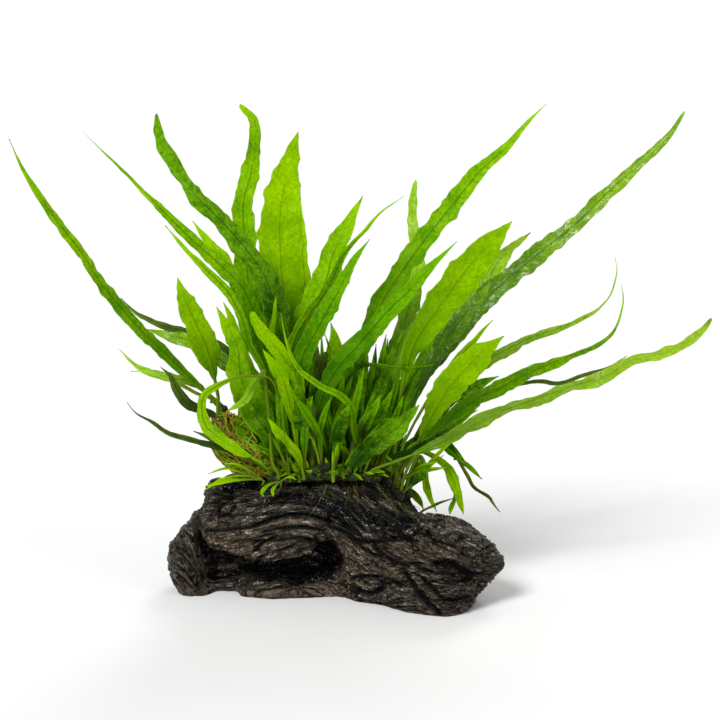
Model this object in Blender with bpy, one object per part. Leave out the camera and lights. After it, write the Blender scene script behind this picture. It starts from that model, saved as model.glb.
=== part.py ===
"""Java fern on driftwood: a piece of weathered wood with a creeping fern growing along its top.

Units are metres and +Z is up. The origin lies on the wood's flat underside.
+X runs along the wood to its pointed end, and -Y is the front.
"""

import math
from collections import namedtuple

import bmesh
import bpy
import numpy as np
from mathutils import Matrix, Vector, noise

MM = 0.001
CURVE_STEPS = 12

# Front view: the frond points are read in it, on the upright plane y = 0
VIEW_TILT = math.radians(12)
VIEW_RANGE = 1.188
AIM = Vector((0.0088, 0.0, 0.1062))
EYE = AIM + VIEW_RANGE * Vector((0, -math.cos(VIEW_TILT), math.sin(VIEW_TILT)))

# Driftwood
VOXEL = 0.0014
WOOD_TRIANGLES = 3140
LUMP_SIZE = 0.011
LUMP_HEIGHT = 0.0013
LUMP_STRETCH = (0.35, 1.0, 1.3)
WEATHERING = 0.5
FORK_GAP = 0.0003
FORK_POINT = Vector((-0.0564, 0.0, 0.006))
FORK_LEAN = math.radians(-14)
CUT_SIZE = 0.3
LOG_SECTION = (28, 0.62)
ARM_SECTION = (20, 0.7)

# Round bars: no bar runs along BAR_SIDE, and the last ring of a bar is drawn in
BAR_SIDE = Vector((0.31, 0.95, 0.05))
BAR_END = 0.55

# Creeping stems and roots
STEM_VOXEL = 0.0008
RHIZOME_TRIANGLES = 520
ROOT_TRIANGLES = 260
RISING_RADIUS = 2.1

# Fronds
STALK_WIDTH = 0.0015
STALK_DEPTH = 0.0013
BLADE_DEPTH = 0.0009
DEPTH_TO_WIDTH = 1.2
CHANNEL = 0.16
TIP_SIZE = 0.0004
SET_BACK = 1.4
SPREAD = 1.6
SWELL = 0.8
RING_SPACING = 0.010
FEWEST_RINGS = 8
MOST_RINGS = 14
YOUNG_RINGS = 6

# Plantlets, in millimetres but for the voxel
PLANTLET_VOXEL = 0.00035
PLANTLET_TRIANGLES = 420
PLANTLET_STALK = 1.6
PLANTLET_KNOB = 1.7
PLANTLET_TIP = 0.25
PLANTLET_TAPER = 3.5
PLANTLET_TURNS = (60, 40)

# One row of the wood: x, front, back, bottom and top, in millimetres
SLAB = (
    (-61, -4, 12, 25, 44),
    (-58, -10, 20, 21, 49.5),
    (-48, -15, 27, 18.5, 52),
    (-38, -18, 32, 15.5, 52.5),
    (-30, -19, 34, 15, 52.5),
    (-22, -19, 35, 18, 52.5),
    (-13, -19, 36, 19, 52.5),
    (-10, -19, 36, 25.5, 52.5),
    (-4, -18, 36, 25.5, 52.5),
    (1, -17, 36, 20, 52.5),
    (6, -18, 36, 12, 53),
    (12, -19, 35, 8, 53.5),
)
BODY = (
    (2, -10, 34, -12, 30),
    (6, -17, 35, -12, 52),
    (11, -20, 35, -12, 53.5),
    (15, -22, 34, -12, 51),
    (20, -25, 31, -12, 46),
    (25, -29, 25, -12, 41),
    (30, -33, 20, -12, 37.6),
    (38, -37, 13, -12, 36.4),
    (46, -39, 8, -12, 37),
    (53, -36, 5, -7, 36.4),
    (59, -30, 3, 2, 33),
    (64, -25, 0, 8, 27.5),
    (69, -20, -4, 13, 22.6),
    (73, -16, -8, 15.8, 18.8),
)
BASE = (
    (-46, -6, 16, 0.5, 6.5),
    (-42, -9, 26, -6, 8.5),
    (-30, -12, 32, -6, 7.5),
    (-15, -10, 34, -6, 7.5),
    (-2, -8, 35, -6, 10),
    (8, -13, 35, -8, 22),
    (16, -19, 34, -10, 30),
)
BACK_WALL = (
    (-69, 12, 18, 4, 26),
    (-62, 13, 21, 0.5, 32),
    (-52, 13, 24, 0.5, 38),
    (-44, 14, 26, 0, 36),
    (-38, 12, 31, -6, 30),
    (-20, 9, 34, -6, 30),
    (-5, 9, 35, -6, 30),
    (10, 8, 35, -6, 30),
)
BACK_LOBE = (
    (4, 6, 33, 34, 50.5),
    (13, 8, 32, 34, 50),
    (20, 8, 30, 30, 46),
    (26, 8, 27, 24, 42),
    (31, 8, 24, 20, 37.5),
    (36, 8, 19, 16, 32.5),
    (39, 9, 15, 14, 27),
)

# One row of the left arm: z, left, right, front and back, in millimetres
ARM = (
    (-2, -73, -57, -8, 16),
    (3, -75.5, -57.5, -8, 18),
    (7, -77, -63, -8, 18),
    (11, -78, -60, -8, 19),
    (14, -78, -58.8, -7, 20),
    (18, -77.4, -62, -6, 20),
    (23, -75.4, -64.5, -4, 19),
    (28, -71.6, -63.5, -2, 18),
    (31.5, -68, -59.5, 0, 17),
    (34, -64.8, -57, 2, 16),
    (36, -61.5, -56.5, 4, 14),
)

# Ends and radius of each round bar added to the wood, in millimetres
BARS = (
    ((-60, 1, 3.4), (-42, 0, 3), 2.0),
    ((57, -18, 7.5), (64.5, -20, 5.6), 2.2),
    ((-64, 9, 29), (-52, 10, 32), 4.5),
)

# Points and radii of each hollow or groove cut in the wood, in millimetres
CUTS = (
    ((-6, -19, 39), (6, -21, 35), (18, -26, 33), (29, -33, 33), 4.6),
    ((36, -41, 14.5), (44, -42, 15.5), (53, -40, 13), 4.0),
    ((28, -37, 13), (34, -39.5, 7), (42, -42, -2), 2.3),
    ((10, -22, 9.5), (19, -28, 8), (27, -34, 9.5), 2.2),
    ((-60, -6, 32), (-44, -17, 35), (-24, -20.5, 37.5), (-4, -20, 36), 1.7),
    ((14, 6, 55), (22, 5.5, 48), (30, 6, 40), (37, 7, 34), 2.0),
)

# Creeping stems: points in millimetres and radius
RHIZOME_RUNS = (
    ((-30, -9, 55.4), (-18, -11, 55.6), (-4, -9, 55.6), (8, -9, 55.6), (16, -6, 54.6), 2.5),
    ((-30, 1, 55.6), (-16, -1, 55.6), (0, 0, 55.8), (12, 2, 56.2), (20, 4, 53.2), 2.7),
    ((-28, 9, 55.6), (-14, 10, 55.6), (2, 9, 55.8), (12, 12, 56), (19, 14, 54), 2.5),
    ((-27, 17, 55.2), (-12, 17, 55.4), (3, 16, 55.6), (14, 15, 55.6), 2.2),
    ((-22, -10, 55.4), (-20, 4, 55.6), (-18, 17, 55.2), 2.2),
    ((3, -9, 55.6), (5, 4, 55.8), (3, 16, 55.6), 2.2),
)
RISING_STEM = ((-35, 2, 58.5), (-39, 1, 63), (-45, 2, 70), (-49, 3, 77), (-51, 4, 81.5))

# The tuft of roots under the rising stem: z, left, right, front and back, in millimetres
ROOT_TUFT = (
    (56, -42, -38, -4, 6),
    (60, -47, -39.5, -5, 8),
    (64, -50, -42.8, -5, 9),
    (68, -52.5, -46.8, -4, 8),
    (72, -54.5, -50, -3, 7),
)

Frond = namedtuple("Frond", "name foot path tip bow width turns stalk belly tone")

# Each frond: its foot (x, y, z), the points (across, up) that its midrib passes in the front
# view from foot to tip, the depth of its tip, how far it bows back, its greatest width, its
# turns in degrees from foot to tip, the share of its length that is stalk, where along it the
# blade is widest, and its green. Lengths are in millimetres.
FRONDS = (
    Frond("frond_far_left", (-53, 1, 83.5),
          ((-60, 92), (-73, 105), (-88, 120), (-99, 133), (-106, 142), (-113, 154), (-126, 172),
           (-137, 190), (-143, 204)), -22, 0, 6.0, (10, 15, 45, 25, 50), 0.08, 0.45, "mid"),
    Frond("frond_left_wet_tall", (-24, 7.5, 58.5),
          ((-28, 88), (-34, 113), (-39, 130), (-44, 140), (-55, 151), (-70, 165), (-94, 190),
           (-103, 199), (-111, 207)), 24, 0, 9.5, (20, 25, 30, 40), 0.15, 0.42, "wet"),
    Frond("frond_left_dark_tall", (-20, 2, 58.5),
          ((-23, 88), (-26, 115), (-29, 133), (-34, 146), (-45, 161), (-55, 172), (-62, 179),
           (-70, 191), (-76, 201), (-79, 215)), -6, 0, 11.5, (-10, -15, -20, -30), 0.15, 0.5,
          "dark"),
    Frond("frond_centre_left_tall", (-24, 14, 57.5),
          ((-28, 84), (-34, 111), (-39, 133), (-41, 150), (-42, 166), (-42, 177), (-38, 193),
           (-37, 210), (-43, 219)), 38, 0, 11.5, (15, 15, 10, 40), 0.2, 0.55, "mid"),
    Frond("frond_centre_broad", (-17, 7, 58.5),
          ((-20, 84), (-22, 111), (-25, 138), (-26, 155), (-26, 171), (-23, 189), (-18, 207)),
          12, 0, 17.5, (10, 12, 8), 0.25, 0.6, "bright"),
    Frond("frond_centre_back", (-12, 15, 57.5),
          ((-14, 88), (-13, 115), (-15, 138), (-17, 166), (-18, 190)), 42, 0, 9.5, (-15, -25),
          0.25, 0.6, "bright"),
    Frond("frond_centre_glossy", (-10, 11.5, 58.3),
          ((-11, 84), (-12, 102), (-15, 120), (-19, 133), (-24, 145)), 20, 0, 10.0, (20, 30),
          0.2, 0.62, "wet"),
    Frond("frond_centre_right_tall", (-14, 4.4, 58.5),
          ((-17, 79), (-18, 102), (-14, 122), (-6, 142), (-3, 153), (3, 165), (10, 179)),
          6, 0, 13.0, (-12, -20, -30), 0.2, 0.6, "mid"),
    Frond("frond_centre_right_thin", (-19, -1.4, 58.5),
          ((-24, 88), (-21, 113), (-13, 128), (-7, 136), (2, 154), (11, 164), (18, 172),
           (28, 179)), -12, 0, 6.5, (20, 25, 40), 0.3, 0.5, "mid"),
    Frond("frond_centre_right_bright", (-17, -3.8, 58.5),
          ((-19, 84), (-17, 105), (-12, 116), (-6, 127), (0, 138), (6, 150), (13, 160)),
          -15, 0, 9.5, (-20, -25, -35), 0.2, 0.55, "bright"),
    Frond("frond_left_pale_thin", (-27, -13.2, 57.6),
          ((-30, 60), (-31, 73), (-32, 87), (-34, 102), (-40, 113), (-43, 124), (-47, 133),
           (-52, 140), (-65, 153), (-76, 166)), 0, 0, 4.4, (0, 10, 30, 20), 0.36, 0.6, "pale"),
    Frond("frond_left_back_bright", (-26, 17.5, 57.2),
          ((-29, 84), (-36, 115), (-44, 135), (-50, 150), (-56, 157), (-64, 168)), 34, 0, 5.4,
          (20, 25), 0.35, 0.75, "bright"),
    Frond("frond_left_short_broad", (-54, -2.2, 83.5),
          ((-54, 90), (-56, 101), (-59, 112), (-64, 124), (-68, 133), (-71, 143)), -18, 0, 11.5,
          (20, 20, 10), 0.22, 0.58, "bright"),
    Frond("frond_left_dark_broad", (-27, -5, 58.5),
          ((-31, 72), (-40, 88), (-44, 99), (-45, 111), (-49, 120), (-54, 130)), -10, 0, 13.0,
          (15, 15, 25), 0.1, 0.45, "dark"),
    Frond("frond_left_folded_bright", (-29, 4.4, 58.5),
          ((-34, 88), (-41, 106), (-46, 117), (-48, 125), (-51, 132)), 8, 0, 5.0, (20, 20),
          0.4, 0.75, "bright"),
    Frond("frond_left_brown_narrow", (-30, 10, 58.3),
          ((-35, 81), (-44, 104), (-54, 113), (-69, 119), (-79, 122), (-89, 127), (-96, 134)),
          22, 0, 4.4, (30, 40), 0.3, 0.6, "brown"),
    Frond("frond_left_grey_wet", (-31, 0, 58.5),
          ((-34, 75), (-40, 90), (-49, 103), (-65, 114), (-75, 117), (-85, 120)), 5, 0, 7.0,
          (25, 35), 0.35, 0.7, "wet"),
    Frond("frond_left_low_thin", (-52.5, 5.2, 84.5),
          ((-57, 90), (-65, 96), (-79, 99), (-89, 103), (-97, 111)), 16, 0, 4.2, (20, 30),
          0.2, 0.45, "pale"),
    Frond("frond_left_brown_curved", (-51, -1.4, 79),
          ((-54, 80.5), (-62, 84), (-68, 87), (-72, 93), (-75, 99), (-79, 103)), -14, 0, 4.4,
          (20, 10, 40), 0.1, 0.45, "brown"),
    Frond("frond_left_dark_low", (-34, -7, 59.5),
          ((-47, 65), (-55, 67), (-66, 70), (-76, 73), (-83, 78), (-90, 82), (-94, 87)),
          -18, 0, 2.6, (20, 30), 0.2, 0.4, "brown"),
    Frond("frond_left_arching", (-22, -15, 56.8),
          ((-25, 75), (-27.5, 90), (-31, 98), (-38, 99), (-46, 98), (-55, 94), (-60, 90),
           (-61, 83), (-59, 76), (-52, 70), (-45, 65), (-38, 62)), -13, -5, 6.2,
          (0, 0, 5, 30, 10, 10), 0.3, 0.8, "pale"),
    Frond("frond_left_small_drooping", (-33, -11.6, 104),
          ((-38, 95), (-42, 88), (-50, 83)), -13, 0, 3.6, (10, 20), 0.1, 0.5, "pale"),
    Frond("frond_front_blunt", (-15, -8.6, 58.5),
          ((-18, 79), (-19, 97), (-24, 106), (-29, 113), (-35, 120), (-39, 128)), -13.5, 0, 6.5,
          (10, 15), 0.15, 0.65, "bright"),
    Frond("frond_front_rolled", (-23, -4.6, 58.5),
          ((-24, 75), (-27, 99), (-30, 116), (-29, 126), (-28, 135)), -8.5, 0, 4.0, (30, 50),
          0.2, 0.7, "mid"),
    Frond("frond_front_arching", (9, -4.6, 58.8),
          ((8, 66), (6, 75), (5, 84), (0, 90), (-8, 94), (-15, 99), (-19, 103), (-22, 109),
           (-24, 116), (-26, 127)), -18, -7, 4.2, (30, 40, 40, 50), 0.1, 0.35, "wet"),
    Frond("frond_front_left_bright", (-18.5, -11.4, 58.2),
          ((-20, 75), (-23, 89), (-26, 99), (-30, 105), (-34, 111)), -17, 0, 5.6, (10, 15),
          0.15, 0.7, "bright"),
    Frond("frond_front_left_blunt", (-16, -13.8, 57.6),
          ((-19, 63), (-25, 70), (-32, 80)), -16, 0, 4.8, (10, 10), 0.1, 0.6, "bright"),
    Frond("frond_centre_brown_blunt", (-11, 0.8, 58.6),
          ((-13, 75), (-12, 94), (-9, 102), (-6, 110)), -1, 0, 5.0, (10, 15), 0.15, 0.7, "brown"),
    Frond("frond_centre_behind_bright", (-6, 13.4, 58.2),
          ((-6, 75), (-4, 97), (-2, 112), (-4, 123)), 26, 0, 9.0, (-10, -20), 0.15, 0.6,
          "bright"),
    Frond("frond_centre_dark_1", (-9, 6.6, 58.7),
          ((-10, 70), (-11, 88), (-14, 104)), 10, 0, 9.0, (10, 25), 0.1, 0.58, "dark"),
    Frond("frond_centre_dark_2", (-3, 8.4, 58.7),
          ((-4, 70), (-1, 84), (2, 95)), 11, 0, 13.0, (-10, -15), 0.1, 0.55, "mid"),
    Frond("frond_centre_dark_3", (4, 17, 58),
          ((2, 75), (4, 90), (9, 110)), 24, 0, 11.0, (-10, -25), 0.1, 0.55, "dark"),
    Frond("frond_right_dark_tall", (7, 11.6, 58.7),
          ((7, 80), (9, 99), (12, 115), (17, 128), (22, 138), (35, 157), (49, 175), (61, 190),
           (73, 201), (81, 211), (89, 219)), 32, 0, 10.5, (-15, -20, -30), 0.25, 0.5, "dark"),
    Frond("frond_right_pale_back", (13, 15.6, 58),
          ((16, 70), (19, 88), (24, 106), (30, 128), (34, 148), (32, 164), (32, 175),
           (33, 186)), 44, 0, 10.5, (-10, -20, -35), 0.1, 0.45, "pale"),
    Frond("frond_right_crossing", (-11, -3.6, 58.6),
          ((-12, 72), (-8, 88), (-2, 101), (9, 114), (20, 127), (31, 138), (41, 149),
           (51, 159)), -16, 0, 10.5, (-15, -20, -30), 0.12, 0.5, "mid"),
    Frond("frond_right_broad_bright", (22, 3.8, 52),
          ((24, 63), (26, 85), (29, 101), (32, 112), (37, 121), (49, 138), (57, 149),
           (64, 157), (75, 168)), -16, 0, 17.0, (10, 10, 12, 20), 0.3, 0.72, "bright"),
    Frond("frond_right_back_pale", (18, 18, 56),
          ((23, 75), (31, 97), (40, 115), (47, 124), (56, 133), (64, 140), (68, 149),
           (73, 155), (83, 163)), 36, 0, 6.5, (20, 30), 0.3, 0.7, "pale"),
    Frond("frond_right_long_dark", (20, 10, 56),
          ((27, 70), (34, 93), (44, 109), (55, 124), (66, 136), (87, 154), (104, 168),
           (118, 182), (132, 195), (143, 206), (149, 216)), 16, 0, 12.0, (-15, -20, -35),
          0.2, 0.45, "wet"),
    Frond("frond_right_folded_wet", (19.5, 6, 57),
          ((26, 70), (33, 90), (43, 110), (51, 122), (59, 132), (66, 141)), 4.5, 0, 9.5,
          (15, 25), 0.25, 0.72, "wet"),
    Frond("frond_right_lower_1", (24, 13, 51.5),
          ((30, 65), (38, 81), (48, 95), (63, 105), (73, 111), (85, 117), (97, 121), (110, 127),
           (116, 132), (119, 137), (121, 146), (120, 152)), 22, 0, 7.0, (30, 35, 50), 0.25,
          0.5, "wet"),
    Frond("frond_right_lower_2", (29, 5.5, 46.5),
          ((33, 60), (38, 70), (46, 77), (54, 85), (70, 94), (84, 101), (95, 106), (106, 110),
           (115, 114), (121, 121), (124, 132), (123, 140)), -12, 0, 9.0, (20, 30, 45), 0.15,
          0.45, "mid"),
    Frond("frond_right_lowest", (14, -9, 58.6),
          ((24, 60), (36, 65), (51, 73), (66, 81), (84, 88), (100, 94), (116, 99), (128, 106),
           (140, 109), (150, 113), (158, 119), (163, 125)), -30, 0, 9.5, (25, 30, 40, 20), 0.12,
          0.42, "mid"),
    Frond("frond_right_dark_narrow", (26, 16, 48),
          ((29, 63), (40, 74), (53, 83), (66, 91), (77, 95), (88, 97), (96, 96), (106, 99),
           (118, 103), (126, 108)), 14, 0, 3.4, (30, 40), 0.3, 0.7, "brown"),
    Frond("frond_right_bullate", (27, 9.4, 48.5),
          ((30, 65), (38, 75), (44, 83), (51, 90), (62, 96), (70, 99)), 6, 0, 7.0, (20, 30),
          0.25, 0.68, "dark"),
    Frond("frond_right_front_bright", (27, -1, 46.5),
          ((29, 55), (33, 64), (37, 75), (43, 86), (48, 94), (55, 102), (63, 111), (72, 117)),
          -22, 0, 14.5, (10, 12, 20), 0.3, 0.68, "bright"),
    Frond("frond_right_curled_tongue", (24, 2.6, 50),
          ((29, 70), (40, 90), (51, 106), (59, 115), (63, 120), (67, 124)), 0, 0, 3.6, (20, 30),
          0.4, 0.75, "bright"),
    Frond("frond_right_low_dark", (16, -5.6, 57.5),
          ((23, 62), (34, 66), (43, 72), (53, 79), (62, 86)), -9, 0, 4.8, (20, 30), 0.1, 0.5,
          "dark"),
    Frond("frond_front_dark_broad", (2, -12.4, 57.8),
          ((9, 63), (15, 68), (24, 75), (30, 81), (35, 86)), -16, 0, 12.0, (15, 20), 0.08, 0.5,
          "dark"),
    Frond("frond_centre_crossing_thin", (-4, -0.6, 58.8),
          ((-2, 80), (2, 94), (8, 103), (16, 104), (24, 103), (33, 103), (41, 104)), -5, 0, 2.6,
          (20, 20), 0.3, 0.45, "dark"),
    Frond("frond_hanging_1", (30, 14, 42),
          ((31.5, 53), (33.5, 60), (35.5, 62.5), (37, 59), (38, 53), (39.5, 45), (43, 37)), 16,
          0, 3.6, (10, 15), 0.2, 0.68, "bright"),
    Frond("frond_hanging_2", (23, 19, 50),
          ((27, 60), (31, 65), (36, 65), (42, 62), (47, 58), (50, 53), (52, 47), (55, 36)),
          12, 0, 5.2, (10, 15), 0.2, 0.75, "bright"),
    Frond("frond_hanging_3", (16, 20, 54.5),
          ((26, 65), (35, 67), (41, 70), (46, 70), (50, 66), (54, 60), (57, 58), (63, 52)),
          22, 0, 3.4, (10, 20), 0.3, 0.75, "dark"),
    Frond("frond_on_the_wood", (25, 18, 44.5),
          ((28, 48.6), (32, 47), (35, 43), (37, 38.5)), 19, 0, 4.2, (60, 40), 0.1, 0.6, "mid"),
)

# Young leaves, given in the same way, which grow out of the creeping stems
YOUNG_LEAVES = (
    Frond("young_drooping_tongue", (-21, -8.2, 57),
          ((-24, 75), (-25, 86), (-23, 90.5), (-21, 88), (-20.6, 81)), -10.5, 0, 4.0, (10, 15),
          0.2, 0.7, "bright"),
    Frond("young_bright_left", (-15.6, -11.4, 57), ((-15.8, 70), (-15, 79), (-12, 90)), -13, 0,
          4.6, (10, -15), 0.15, 0.6, "bright"),
    Frond("young_spotted", (-12.2, -8.8, 57), ((-13, 72), (-12.5, 80), (-12, 88)), -9.4, 0, 5.0,
          (-10, 10), 0.12, 0.62, "brown"),
    Frond("young_slender", (-7.5, -8.8, 57), ((-9, 72), (-7, 82), (-3.5, 90)), -11, 0, 4.2,
          (15, -10), 0.15, 0.6, "bright"),
    Frond("young_broad", (-2, -7.4, 57), ((-1, 70), (0, 80), (3, 90)), -8.8, 0, 7.4, (5, -10),
          0.12, 0.6, "bright"),
    Frond("young_dotted", (-24.6, -9.4, 57), ((-26, 72), (-27, 83), (-28.5, 91)), -10.4, 0, 3.6,
          (10, 20), 0.15, 0.6, "bright"),
    Frond("young_thin", (-6.6, -2.6, 56), ((-4, 70), (-5, 76.8), (-6, 82.7), (-4, 90.4)), -4.6,
          0, 3.4, (-10, 15), 0.2, 0.6, "mid"),
    Frond("young_leaning", (3, -4.4, 56.6), ((5, 64), (9, 69), (15, 76), (24, 80)), -5.2, 0, 5.4,
          (5, 10), 0.1, 0.6, "mid"),
    Frond("young_back_left", (-23.4, 18.2, 56), ((-28, 60), (-33, 66), (-39, 71)), 27, 0, 4.6,
          (170, 160), 0.15, 0.6, "bright"),
    Frond("young_back_1", (-19, 18, 56.4), ((-20, 64), (-22, 72), (-26, 80)), 25, 0, 4.4,
          (185, 170), 0.15, 0.6, "mid"),
    Frond("young_back_2", (-8, 18, 56.6), ((-8, 64), (-6, 72), (-3, 77)), 27, 0, 4.8,
          (175, 195), 0.15, 0.6, "bright"),
    Frond("young_back_3", (-1, 17.4, 56.6), ((-2, 66), (-1, 76), (3, 86)), 21, 0, 3.6,
          (190, 170), 0.2, 0.6, "mid"),
    Frond("young_back_right", (9, 16.6, 56.8), ((12, 63), (17, 68), (24, 71)), 26, 0, 4.4,
          (185, 175), 0.15, 0.6, "bright"),
)

# Small leaves of each plantlet: the points of a leaf (x, y, z) and its width, in millimetres
LEFT_PLANTLET = (
    (((-34, -14, 55.5), (-42, -13, 58), (-50, -12, 60), (-58, -12, 57.5)), 2.2),
    (((-34, -14, 55.5), (-43, -15, 57.5), (-54, -15, 56)), 2.0),
    (((-34, -14, 55.5), (-46, -17, 56), (-53, -17, 54.5), (-59, -16, 53)), 3.0),
    (((-34, -14, 55.5), (-44, -12, 55), (-52, -11, 54.5), (-60, -10, 49.5)), 2.6),
    (((-34, -14, 55.5), (-44, -14, 62), (-51, -13, 62.5)), 2.2),
)
FRONT_PLANTLET = (
    (((-26, -17.5, 55.5), (-31, -19.5, 54.5), (-34, -21, 51.5), (-33, -22, 50)), 3.4),
    (((-26, -17.5, 55.5), (-29, -20, 53), (-29, -22, 50)), 3.4),
    (((-26, -17.5, 55.5), (-22, -19, 58), (-19, -20, 57)), 2.4),
)

GREENS = {
    "bright": (0.20, 0.50, 0.01),
    "mid": (0.11, 0.36, 0.008),
    "dark": (0.045, 0.20, 0.005),
    "wet": (0.09, 0.29, 0.03),
    "pale": (0.24, 0.48, 0.07),
    "brown": (0.09, 0.13, 0.02),
}


def clear_scene():
    for obj in list(bpy.data.objects):
        bpy.data.objects.remove(obj)


def material(name, color, roughness):
    made = bpy.data.materials.new(name)
    made.use_nodes = True
    shader = made.node_tree.nodes["Principled BSDF"]
    shader.inputs["Base Color"].default_value = (*color, 1)
    shader.inputs["Roughness"].default_value = roughness
    shader.inputs["Metallic"].default_value = 0
    return made


def add_object(name, mesh, finish=None):
    obj = bpy.data.objects.new(name, mesh)
    bpy.context.scene.collection.objects.link(obj)
    if finish:
        mesh.materials.append(finish)
    return obj


def as_cutter(obj):
    obj.hide_render = True
    obj.display_type = "WIRE"
    return obj


def curve_through(points, count):
    """`count` points evenly spaced along a smooth curve through the points given."""
    knots = [Vector(p) for p in points]
    ends = [2 * knots[0] - knots[1], *knots, 2 * knots[-1] - knots[-2]]
    fine = []
    for before, start, end, after in zip(ends, ends[1:], ends[2:], ends[3:]):
        for step in range(CURVE_STEPS):
            t = step / CURVE_STEPS
            fine.append(0.5 * (2 * start + (end - before) * t
                               + (2 * before - 5 * start + 4 * end - after) * t ** 2
                               + (3 * start - before - 3 * end + after) * t ** 3))
    fine.append(knots[-1])
    lengths = np.cumsum([0] + [(b - a).length for a, b in zip(fine, fine[1:])])
    at = np.linspace(0, lengths[-1], count)
    return [Vector(p) for p in zip(*(np.interp(at, lengths, [v[i] for v in fine])
                                     for i in range(3)))]


def loft(bm, rings):
    """Joins rings of points into one closed shape in bm."""
    loops = [[bm.verts.new(p) for p in ring] for ring in rings]
    for low, high in zip(loops, loops[1:]):
        count = len(low)
        for i in range(count):
            bm.faces.new((low[i], low[(i + 1) % count], high[(i + 1) % count], high[i]))
    bm.faces.new(list(reversed(loops[0])))
    bm.faces.new(loops[-1])


def closed_mesh(name, bm):
    bmesh.ops.recalc_face_normals(bm, faces=bm.faces)
    mesh = bpy.data.meshes.new(name)
    bm.to_mesh(mesh)
    bm.free()
    mesh.shade_smooth()
    return mesh


def rounded_ring(count, squareness):
    """Unit directions round a loop whose corners are squarer than a circle's."""
    for i in range(count):
        a = 2 * math.pi * i / count
        c, s = math.cos(a), math.sin(a)
        yield (math.copysign(abs(c) ** squareness, c), math.copysign(abs(s) ** squareness, s))


def loft_along_x(bm, rows):
    rings = []
    for x, front, back, bottom, top in rows:
        rings.append([MM * Vector((x, (front + back) / 2 + c * (back - front) / 2,
                                   (bottom + top) / 2 + s * (top - bottom) / 2))
                      for c, s in rounded_ring(*LOG_SECTION)])
    loft(bm, rings)


def loft_along_z(bm, rows):
    rings = []
    for z, left, right, front, back in rows:
        rings.append([MM * Vector(((left + right) / 2 + c * (right - left) / 2,
                                   (front + back) / 2 + s * (back - front) / 2, z))
                      for c, s in rounded_ring(*ARM_SECTION)])
    loft(bm, rings)


def tube(bm, points, radius, sides=10, count=14):
    """A round bar of one radius along a smooth curve through the points, with capped ends."""
    path = curve_through([MM * Vector(p) for p in points], count)
    rings = []
    for i, at in enumerate(path):
        along = (path[min(i + 1, count - 1)] - path[max(i - 1, 0)]).normalized()
        side = along.cross(BAR_SIDE).normalized()
        up = side.cross(along)
        end = BAR_END if i in (0, count - 1) else 1.0
        rings.append([at + end * radius * MM * (math.cos(a) * side + math.sin(a) * up)
                      for a in (2 * math.pi * k / sides for k in range(sides))])
    loft(bm, rings)


def evaluated_mesh(obj):
    graph = bpy.context.evaluated_depsgraph_get()
    return bpy.data.meshes.new_from_object(obj.evaluated_get(graph), depsgraph=graph)


def add_remesh(obj, voxel):
    remesh = obj.modifiers.new("Grow together", "REMESH")
    remesh.mode = "VOXEL"
    remesh.voxel_size = voxel


def cut_away(obj, cutter):
    cut = obj.modifiers.new("Cut " + cutter.name, "BOOLEAN")
    cut.operation = "DIFFERENCE"
    cut.solver = "EXACT"
    cut.object = cutter


def wood_blank():
    """The whole driftwood with its arm, grown together and hollowed, before it is parted."""
    bm = bmesh.new()
    for rows in (SLAB, BODY, BASE, BACK_WALL, BACK_LOBE):
        loft_along_x(bm, rows)
    loft_along_z(bm, ARM)
    for start, end, radius in BARS:
        middle = [(a + b) / 2 for a, b in zip(start, end)]
        tube(bm, (start, middle, end), radius)
    blank = as_cutter(add_object("wood_blank", closed_mesh("wood_blank", bm)))
    add_remesh(blank, VOXEL)

    bm = bmesh.new()
    for *points, radius in CUTS:
        tube(bm, points, radius)
    grooves = as_cutter(add_object("wood_grooves", closed_mesh("wood_grooves", bm)))
    cut_away(blank, grooves)
    add_remesh(blank, VOXEL)
    smooth = blank.modifiers.new("Weather", "SMOOTH")
    smooth.factor = WEATHERING
    smooth.iterations = 3
    return blank


def weathered(blank):
    """The blank with shallow lumps that run along the grain."""
    mesh = evaluated_mesh(blank)
    for vertex, normal in zip(mesh.vertices, [n.vector.copy() for n in mesh.vertex_normals]):
        at = Vector(LUMP_STRETCH) * vertex.co / LUMP_SIZE
        lump = noise.fractal(at, 0.8, 2.0, 3)
        vertex.co += LUMP_HEIGHT * lump * normal
    return mesh


def cutting_box(name, centre, lean=0.0):
    bm = bmesh.new()
    turn = Matrix.Translation(centre) @ Matrix.Rotation(lean, 4, "Y")
    bmesh.ops.create_cube(bm, size=CUT_SIZE, matrix=turn)
    return as_cutter(add_object(name, closed_mesh(name, bm)))


def build_driftwood(finish):
    """The log and its left arm: the blank cut flat below and parted at its fork."""
    mesh = weathered(wood_blank())
    floor = cutting_box("floor_cut", Vector((0, 0, -CUT_SIZE / 2)))
    across = Matrix.Rotation(FORK_LEAN, 3, "Y") @ Vector((1, 0, 0))
    offset = (CUT_SIZE - FORK_GAP) / 2 * across
    arm_side = cutting_box("arm_side_cut", FORK_POINT - offset, FORK_LEAN)
    log_side = cutting_box("log_side_cut", FORK_POINT + offset, FORK_LEAN)
    for name, other_side in (("driftwood_log", arm_side), ("driftwood_left_arm", log_side)):
        piece = add_object(name, mesh.copy(), finish)
        thin = piece.modifiers.new("Facets", "DECIMATE")
        thin.ratio = WOOD_TRIANGLES / (2 * len(mesh.polygons))
        cut_away(piece, floor)
        cut_away(piece, other_side)


def seen(across, up, depth):
    """The point at this depth on the line of sight through (across, up) of the front view."""
    on_plane = Vector((across, 0, up)) * MM
    return EYE + (on_plane - EYE) * ((depth * MM - EYE.y) / -EYE.y)


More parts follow.
